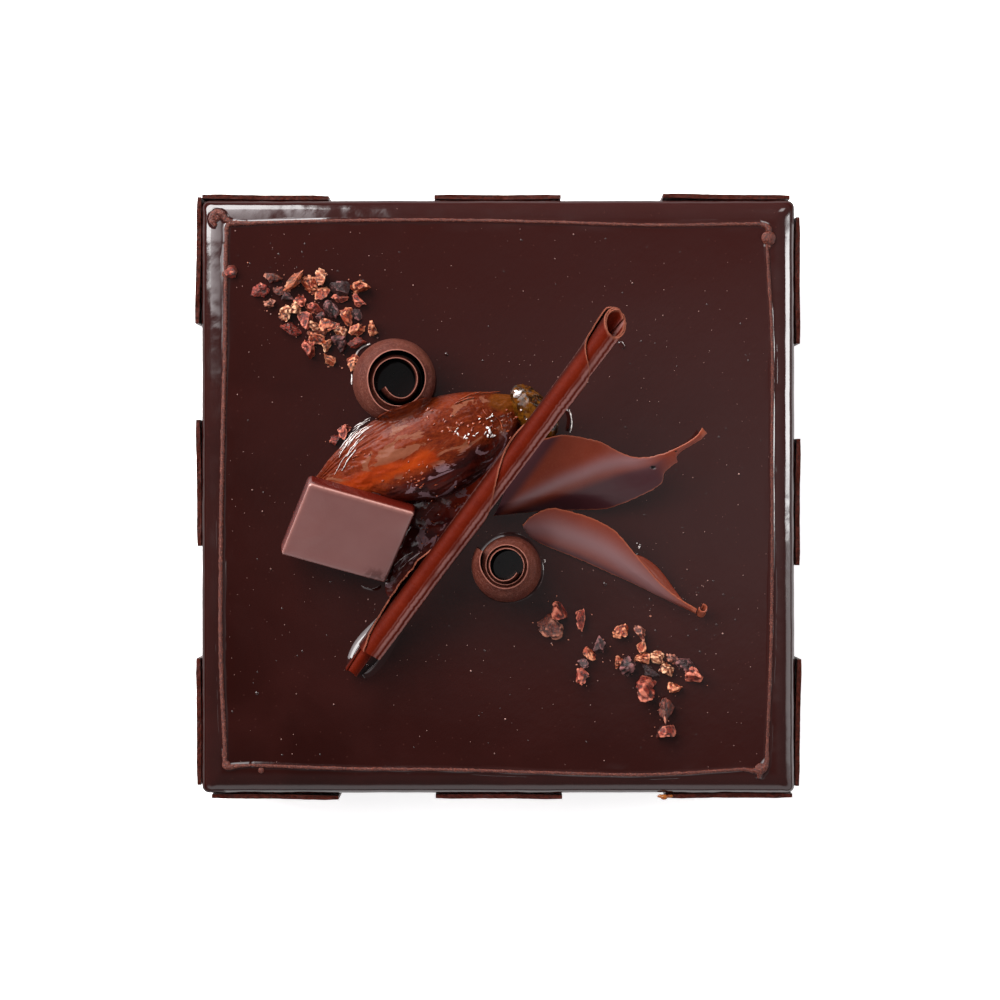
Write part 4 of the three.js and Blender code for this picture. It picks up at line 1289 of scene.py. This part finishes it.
def apricot():
    length = APRICOT["right"] - APRICOT["left"]
    reach = np.linalg.norm(length)
    ahead = unit(length)
    sideways = np.array([-ahead[1], ahead[0]])
    t = np.linspace(0, 1, FRUIT_RINGS)
    angle = 2 * np.pi * np.arange(FRUIT_POINTS) / FRUIT_POINTS
    upper, lower, crest = (spaced(APRICOT[name], t)[:, None] for name in ("upper", "lower", "crest"))
    cos, sin = np.cos(angle), np.sin(angle)
    aside, rise = (np.sign(part) * np.abs(part) ** FRUIT_FULLNESS for part in (cos, sin))
    across = np.where(cos > 0, upper, lower) * aside
    z = TOP + GAP + crest * 0.4 + crest * np.where(sin > 0, 0.6, 0.4) * rise
    plan = APRICOT["left"] + (t * reach)[:, None, None] * ahead + across[..., None] * sideways
    z = rest_on_curl(plan, z)
    points = np.concatenate([plan, z[..., None]], axis=2)
    normals = np.cross(np.gradient(points, axis=1), np.gradient(points, axis=0))
    normals /= np.linalg.norm(normals, axis=2)[..., None] + 1e-9
    normals *= np.sign((normals[..., 2] * sin).mean())

    flow = grid(t[:, None] * reach / 6.0, across, z * 0.7)
    folds = 1.0 - 2.0 * np.abs(lumps(flow, 3.0, 2.0))
    creases = 1.0 - 2.0 * np.abs(lumps(flow, 1.3, 6.0))
    rim = smooth_step(0.15, 0.75, cos) * smooth_step(0.5, 0.3, t)[:, None]
    ridges = 0.22 * rim * np.cos(34 * angle + 3.0 * lumps(flow, 4.0, 1.0))
    skin = layered(points, (0.07, 0.8, 4), (0.4, 8.0, 7))
    depth = 0.16 * folds + 0.12 * creases + skin + ridges - 0.35
    points = points + normals * (depth * smooth_step(-0.2, 0.3, sin))[..., None]
    points = give_way(points)

    fruit = piece("candied_apricot_flesh", points, strips(points), FRUIT, slot="candied_fruit",
                  replaces=["candied_apricot"])
    flat = points.reshape(-1, 3)
    wobble = layered(flat, (0.8, 4.0, 3), (0.4, 1.5, 5))
    # Where painted light goes: a painted glow along the glow line, near black for thick syrup and painted
    # shade on the lower side, and where the painted reflections may lie.
    tag(fruit, "glow", smooth_step(3.4, 1.2, line_distance(flat, GLOW_LINE) + wobble))
    share = np.repeat(t, len(angle)) * reach
    below = across.ravel() + 1.5 * wobble - 0.09 * np.clip(share - 34.0, 0, 30)
    tag(fruit, "syrup_and_shade", smooth_step(-6.2, -9.5, below) * smooth_step(6.0, 16.0, share))
    amber = np.hypot((flat[:, 0] - 1.6) / 4.6, (flat[:, 1] - 28.6) / 3.4) + 0.2 * wobble
    tag(fruit, "amber", smooth_step(1.2, 0.7, amber))
    shoulders = smooth_step(-19.0, -15.0, across.ravel()) * smooth_step(11.5, 8.0, across.ravel())
    tag(fruit, "painted_reflection", shoulders * smooth_step(1.0, 3.6, line_distance(flat, GLOW_LINE)))
    return flat


CURL_EASE = 1.1  # how softly the fruit rises on to the curl's shoulder
ROLL_ROOM = 0.4  # what the fruit leaves round the cigarette
SQUARE_ROOM = 0.8  # beside the square
REST_GAP = 0.2  # and under it


def rest_on_curl(plan, z):
    """The fruit's height, raised where it leans on the shoulder of the first curl."""
    curl = CURLS[0]
    away = np.hypot(plan[..., 0] - curl["x"], plan[..., 1] - curl["y"])
    swelling = np.clip((away - curl["rim"]) / (curl["reach"] - curl["rim"]), 0.0, 1.0)
    height = TOP + GAP + curl["height"] * (0.5 + 0.5 * (1 - swelling) ** (1 / CURL_FULLNESS)) + 0.5
    near = smooth_step(curl["reach"] + 6.0, curl["reach"] - 1.0, away)
    near = near * smooth_step(TOP + 5.0, TOP + 6.5, z)
    return z + near * CURL_EASE * np.log1p(np.exp((height - z) / CURL_EASE))


def give_way(points):
    """Lowers the fruit wherever the cigarette or the square lies on it."""
    _, right, upper, _ = roll_axes()
    from_low = points - CIGARETTE_LOW
    aside = from_low @ right
    over_axis = from_low @ upper
    room = CIGARETTE_RADIUS + ROLL_ROOM
    bottom = -np.sqrt(np.clip(room**2 - aside**2, 0.0, None))
    sunk = np.where(np.abs(aside) < room, np.clip(over_axis - bottom, 0.0, None), 0.0)
    points = points - sunk[..., None] * upper
    across, far, face = square_axes()
    local = points - np.array(SQUARE["centre"])
    half_x, half_y = np.array(SQUARE["half"]) + SQUARE_ROOM
    inside = (np.abs(local @ across) < half_x) & (np.abs(local @ far) < half_y)
    above = local @ face + SQUARE["thickness"] + REST_GAP
    return points - np.where(inside, np.clip(above, 0.0, None), 0.0)[..., None] * face


def amber_piece():
    points, normals, faces = remeshed("amber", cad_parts["amber_apricot_piece"].data.copy(), 0.4, 6)
    depth = 0.4 * np.abs(lumps(points, 3.0, 2.0)) + 0.15 * lumps(points, 1.4, 4.0) - 0.3
    points = points + normals * depth[:, None]
    piece("amber_apricot_flesh", points, faces, AMBER, slot="amber_fruit",
          replaces=["amber_apricot_piece"])
    return points


# Flattened balls that melt into the syrup, as a centre over the glaze and half sizes, and, with the
# centre over the floor, into the crumb of jam.
SYRUP = [
    ((-17.0, -8.0, 0.6), (9.0, 9.0, 2.6)),
    ((-22.0, -14.0, 0.2), (7.0, 8.0, 2.0)),
    ((-27.5, -21.0, 0.0), (5.0, 7.0, 1.4)),
    ((-31.5, -27.0, -0.1), (3.0, 4.5, 1.0)),
    ((-12.0, -3.0, 1.2), (7.0, 6.0, 3.4)),
    ((-12.0, 4.0, 2.0), (10.0, 9.0, 5.0)),
    ((-4.0, 12.0, 2.0), (8.0, 9.0, 5.5)),
    ((-21.0, -3.0, 1.5), (9.0, 7.0, 3.6)),
]
JAM_BLOBS = [
    ((50.4, -91.3, 39.0), (1.2, 0.9, 0.9)),
    ((49.2, -91.0, 39.0), (0.9, 0.6, 0.6)),
    ((52.2, -91.0, 38.9), (1.1, 0.5, 0.5)),
]


def melted(name, blobs, voxel, base):
    """One skin round several flattened balls that stand on a level base."""
    points, faces = ball(4)
    bag = Bag()
    for centre, half in blobs:
        bag.add(points * half + np.array(centre) + (0, 0, base), faces)
    source = bpy.data.meshes.new(name)
    source.from_pydata((np.vstack(bag.points) * MM).tolist(), [], bag.faces)
    return remeshed(name, source, voxel, 10)


def syrup():
    points, normals, faces = melted("syrup", SYRUP, 0.4, TOP)
    depth = 0.16 * lumps(points, 2.0, 3.0) + 0.1 * np.abs(lumps(points, 0.9, 4.0))
    points = points + normals * depth[:, None]
    pool = piece("syrup_pool", points, faces, SYRUP_PAINT, slot="syrup")
    up_right = points[:, 1] + 0.5 * points[:, 0] + 8.0 + 4.0 * lumps(points, 6.0)
    tag(pool, "ruddy", smooth_step(-8.0, 10.0, up_right))
    return points


# Threads of syrup along folds of the fruit and on the glaze, as plan lines and a radius, and crowds of
# small beads, as a middle, a spread, a number and a size. Some are clear syrup, and the pale ones are
# painted glints that stand in for highlights.
CLEAR_THREADS = [
    ([(-11.8, 29.0), (-8.4, 30.6), (-4.1, 31.4), (0.6, 31.6)], 0.2),
    ([(-13.5, 27.4), (-9.9, 29.2), (-6.0, 30.0)], 0.18),
    ([(-2.5, 26.0), (0.2, 23.0), (1.6, 19.6)], 0.18),
    ([(-4.8, 26.6), (-2.2, 22.6), (-1.4, 19.6)], 0.16),
]
CLEAR_BEADS = [
    ((-10.5, 21.5), (4.6, 2.2), 26, 0.5),
    ((-42.5, 12.0), (2.6, 1.6), 12, 0.35),
    ((-24.0, 6.0), (5.0, 3.0), 26, 0.32),
    ((-21.0, -10.0), (6.0, 8.0), 60, 0.26),
    ((3.5, 21.5), (2.4, 3.0), 14, 0.35),
    ((-41.0, -38.0), (1.4, 3.0), 8, 0.22),
]
PAINTED_GLINT_THREADS = [
    ([(-44.4, 33.8), (-44.5, 37.2)], 0.22),
    ([(-44.0, 41.2), (-42.0, 44.6), (-38.6, 46.4)], 0.24),
    ([(-40.4, -27.1), (-37.8, -28.2), (-35.2, -28.0)], 0.13),
    ([(21.3, 26.4), (22.2, 23.2), (21.8, 19.2)], 0.26),
    ([(37.4, 47.0), (38.3, 45.2)], 0.14),
    ([(-30.2, -22.5), (-26.4, -18.8), (-21.9, -15.9)], 0.1),
    ([(-31.6, -21.0), (-28.8, -18.4), (-25.6, -16.6)], 0.08),
]
# Painted glints: pale threads side by side along the fruit's left rim.
RIM_LINE = [(-52.4, 8.1), (-50.4, 11.9), (-47.7, 16.0), (-44.8, 19.6), (-41.5, 22.2), (-37.9, 24.0)]
RIM_WAY_IN = np.array([0.75, -0.66])
RIM_THREADS = 16
THREAD_STEPS = 70
PAINTED_GLINT_BEADS = [
    ((-8.4, 18.6), (1.9, 0.9), 8, 0.42),
    ((-2.4, 19.2), (0.9, 1.2), 6, 0.6),
    ((-3.2, 23.8), (1.6, 1.0), 6, 0.34),
    ((6.0, 30.6), (0.3, 0.5), 4, 1.0),
    ((42.3, -14.9), (0.5, 0.4), 4, 0.34),
    ((43.6, -16.4), (0.9, 0.9), 5, 0.14),
    ((14.3, -19.6), (0.2, 0.5), 3, 0.3),
    ((9.4, 22.0), (1.4, 2.4), 6, 0.22),
]


def rim_glint_threads():
    draw = np.random.default_rng(5)
    for number in range(RIM_THREADS):
        start = draw.uniform(0.0, 0.7)
        part = along_line(RIM_LINE, 6, start, min(start + draw.uniform(0.15, 0.5), 1.0))
        inward = 0.3 * number**1.1 * mix(1.0, 0.6, start) + 0.14 * draw.normal(size=(6, 1)) - 0.4
        yield part + RIM_WAY_IN * inward, draw.uniform(0.06, 0.15)


def drape(surface, plan):
    """Height of the surface of points under each plan point, or of the glaze where the surface isn't."""
    heights = []
    for x, y in plan:
        near = surface[np.hypot(surface[:, 0] - x, surface[:, 1] - y) < 0.7]
        heights.append(max(near[:, 2].max() if len(near) else 0.0, float(glaze_height(x, y))))
    return np.array(heights)


def wet_glints(name, threads, beads, surface, material):
    draw = np.random.default_rng(17)
    bag = Bag()
    for line, radius in threads:
        plan = along_line(line, THREAD_STEPS)
        height = np.convolve(np.pad(drape(surface, plan), 3, mode="edge"), np.ones(7) / 7, mode="valid")
        path = np.column_stack([plan, height - 0.1])
        path[:, :2] += 0.3 * lumps(path, 3.0, radius)[:, None]
        taper = np.sqrt(np.clip(from_ends(THREAD_STEPS) / 12.0, 0.02, 1.0))
        bag.rings(tube(path, radius * taper * (1 + 0.5 * lumps(path, 1.5))))
    points, faces = ball(3)
    for middle, spread, count, size in beads:
        plan = draw.normal(middle, spread, (count, 2))
        for (x, y), height in zip(plan, drape(surface, plan)):
            half = size * draw.uniform((0.7, 0.3, 0.3), (1.7, 0.8, 0.6))
            bead = points * half * (1.0 + 0.4 * lumps(points, 0.7, x)[:, None])
            bead[:, :2] = turned(bead, draw.normal(35, 40))
            bag.add(bead + (x, y, height - 0.1), faces)
    return bag.finish(name, material, slot="syrup")


def jam_crumb():
    """A little apricot jam that has crept out over the top edge of a front tile."""
    points, normals, faces = melted("jam", JAM_BLOBS, 0.2, 0.0)
    points = points + normals * (0.12 * lumps(points, 0.7, 2.0))[:, None]
    points[:, 2] = np.maximum(points[:, 2], 0.0)
    return piece("apricot_jam_crumb", points, faces, JAM, slot="candied_fruit")


# ---- Studio ----
FLOOR_SIZE = 6.0  # metres
FLOOR_DROP = 0.0002  # and how far under the cake's foot it lies


def floor():
    bpy.ops.mesh.primitive_plane_add(size=FLOOR_SIZE, location=(0, 0, -FLOOR_DROP))
    ground = bpy.context.object
    ground.name = "floor"
    paint = Paint("floor", {"Emission Color": (1, 1, 1, 1), "Emission Strength": 0.7})
    tone = paint.blend(paint.patches(400, 0.3, 0.7), 0xf0f0f0, 0xf4f4f4)
    ground.data.materials.append(paint.done(tone, 0.7))


def panel(name, turn, distance, width, low, high, radiance):
    """An upright area light of that radiance, facing the cake, at a turn in degrees from +X."""
    lamp = bpy.data.lights.new(name, "AREA")
    lamp.shape = "RECTANGLE"
    lamp.size = width
    lamp.size_y = high - low
    lamp.energy = radiance * math.pi * width * (high - low)
    thing = placed(name, lamp)
    turn = math.radians(turn)
    way = Vector((math.cos(turn), math.sin(turn), 0))
    thing.location = way * distance + Vector((0, 0, (low + high) / 2))
    thing.rotation_euler = (-way).to_track_quat("-Z", "Y").to_euler()


# A wide key behind the left corner, a narrow light at the right with a dim one before it, and a small
# one behind the right corner: turn from +X, distance, width, low and high edge in metres, and radiance.
PANELS = [
    ("key", 134.0, 0.80, 1.22, 0.29, 0.74, 13.0),
    ("right_strip", 4.6, 1.0, 0.18, 0.32, 0.79, 14.0),
    ("right_dim", -5.0, 1.0, 0.14, 0.20, 0.76, 1.3),
    ("back_right", 62.0, 0.8, 0.30, 0.60, 0.90, 5.0),
]
# The rest of the room: how bright it is everywhere, and what is added where every bound holds. A bound
# is a way, and how far along it the light sets in and is full. Added are a pale wall in front and to the
# right, the key's glow on the ceiling over the far left corner, a faint sheen overhead towards the right,
# and the walls all round.
UP = (0.0, 0.0, 1.0)
FAR = (0.0, 1.0, 0.0)
LEFT = (-1.0, 0.0, 0.0)
RIGHT = (1.0, 0.0, 0.0)
ROOM_DARK = 0.07
ROOM = [
    (1.05, [((0.35, -0.94, 0.0), 0.12, 0.45), (UP, 0.08, 0.2), (UP, 0.62, 0.5)]),
    (7.0, [(LEFT, 0.052, 0.072), (FAR, 0.052, 0.074), (UP, 0.58, 0.66), (UP, 1.2, 0.62),
           (UP, 0.99, 0.95)]),
    (0.26, [(RIGHT, -0.09, 0.06), (FAR, -0.075, -0.02), (FAR, 0.09, 0.01), (UP, 0.7, 0.95)]),
    (0.09, [(UP, 0.985, 0.93)]),
]


def studio_light():
    for box in PANELS:
        panel(*box)
    world = bpy.data.worlds.new("studio")
    bpy.context.scene.world = world
    world.use_nodes = True
    room = Graph(world.node_tree)
    way = room.node("TexCoord").outputs["Generated"]
    light = ROOM_DARK
    for radiance, bounds in ROOM:
        part = radiance
        for direction, start, full in bounds:
            part = room.math("MULTIPLY", part, room.reach(room.along(way, direction), start, full))
        light = room.math("ADD", light, part)
    background = room.tree.nodes["Background"]
    room.feed(background.inputs["Strength"], light)
    room.feed(background.inputs["Color"], (1.0, 0.97, 0.99, 1.0))


def camera():
    view = bpy.data.cameras.new("camera")
    view.sensor_width = SENSOR
    view.lens = SENSOR * CAMERA_HEIGHT / FRAME_WIDTH
    view.clip_start = 0.05
    thing = placed("camera", view)
    thing.location = (CAMERA_PLACE[0] * MM, CAMERA_PLACE[1] * MM, (TOP + CAMERA_HEIGHT) * MM)
    bpy.context.scene.camera = thing


# ---- Making ----
camera()
studio_light()
floor()
bpy.context.scene.view_settings.view_transform = "Standard"

GLAZE = glaze_material("glaze", 1.6)
GLAZE_EDGE = glaze_material("glaze_edge", 1.22)
PIPING = piping_material()
TILE = tile_material()
CURL_CHOCOLATE = curl_material()
ROLL_CHOCOLATE = roll_material()
PETAL_CHOCOLATE = petal_material()
SQUARE_CHOCOLATE = square_material()
FRUIT = fruit_material()
AMBER = amber_material()
SYRUP_PAINT = syrup_material()
JAM = jam_material()
# Clear syrup that stands out on the fruit, painted glints on pale threads and beads that read as
# highlights from any side, dust.
WET = mottled("wet_syrup", 1.55, 0.06, 4, (0.4, 0.6), 0x6a240c, 0x863a1c)
PAINTED_GLINT = mottled("painted_glint", 1.5, 0.15, 0.8, (0.35, 0.6), 0x8c7872, 0xf0eae6)
SPECK = mottled("specks", 1.45, 0.35, 4, (0.4, 0.6), 0x5e3e38, 0x947068)
NIB_PAINTS = {kind: nib_material(f"nib_{kind}", *colours) for kind, colours in NIB_COLOURS.items()}

cake_body()
piping()
menisci()
nibs()
crumbs()
specks()
for node in sorted(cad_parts):
    if node.startswith("tile_"):
        tile_shell(node)
for curl in CURLS:
    curl_sheet(curl)
cigarette()
chocolate_square()
petal(PETALS[0])
petal_flank(petal(PETALS[1]))
fruit_points = apricot()
wet_surface = np.vstack([fruit_points, amber_piece(), syrup()])
wet_glints("clear_glints", CLEAR_THREADS, CLEAR_BEADS, wet_surface, WET)
wet_glints("painted_glints", PAINTED_GLINT_THREADS + list(rim_glint_threads()), PAINTED_GLINT_BEADS, wet_surface, PAINTED_GLINT)
jam_crumb()
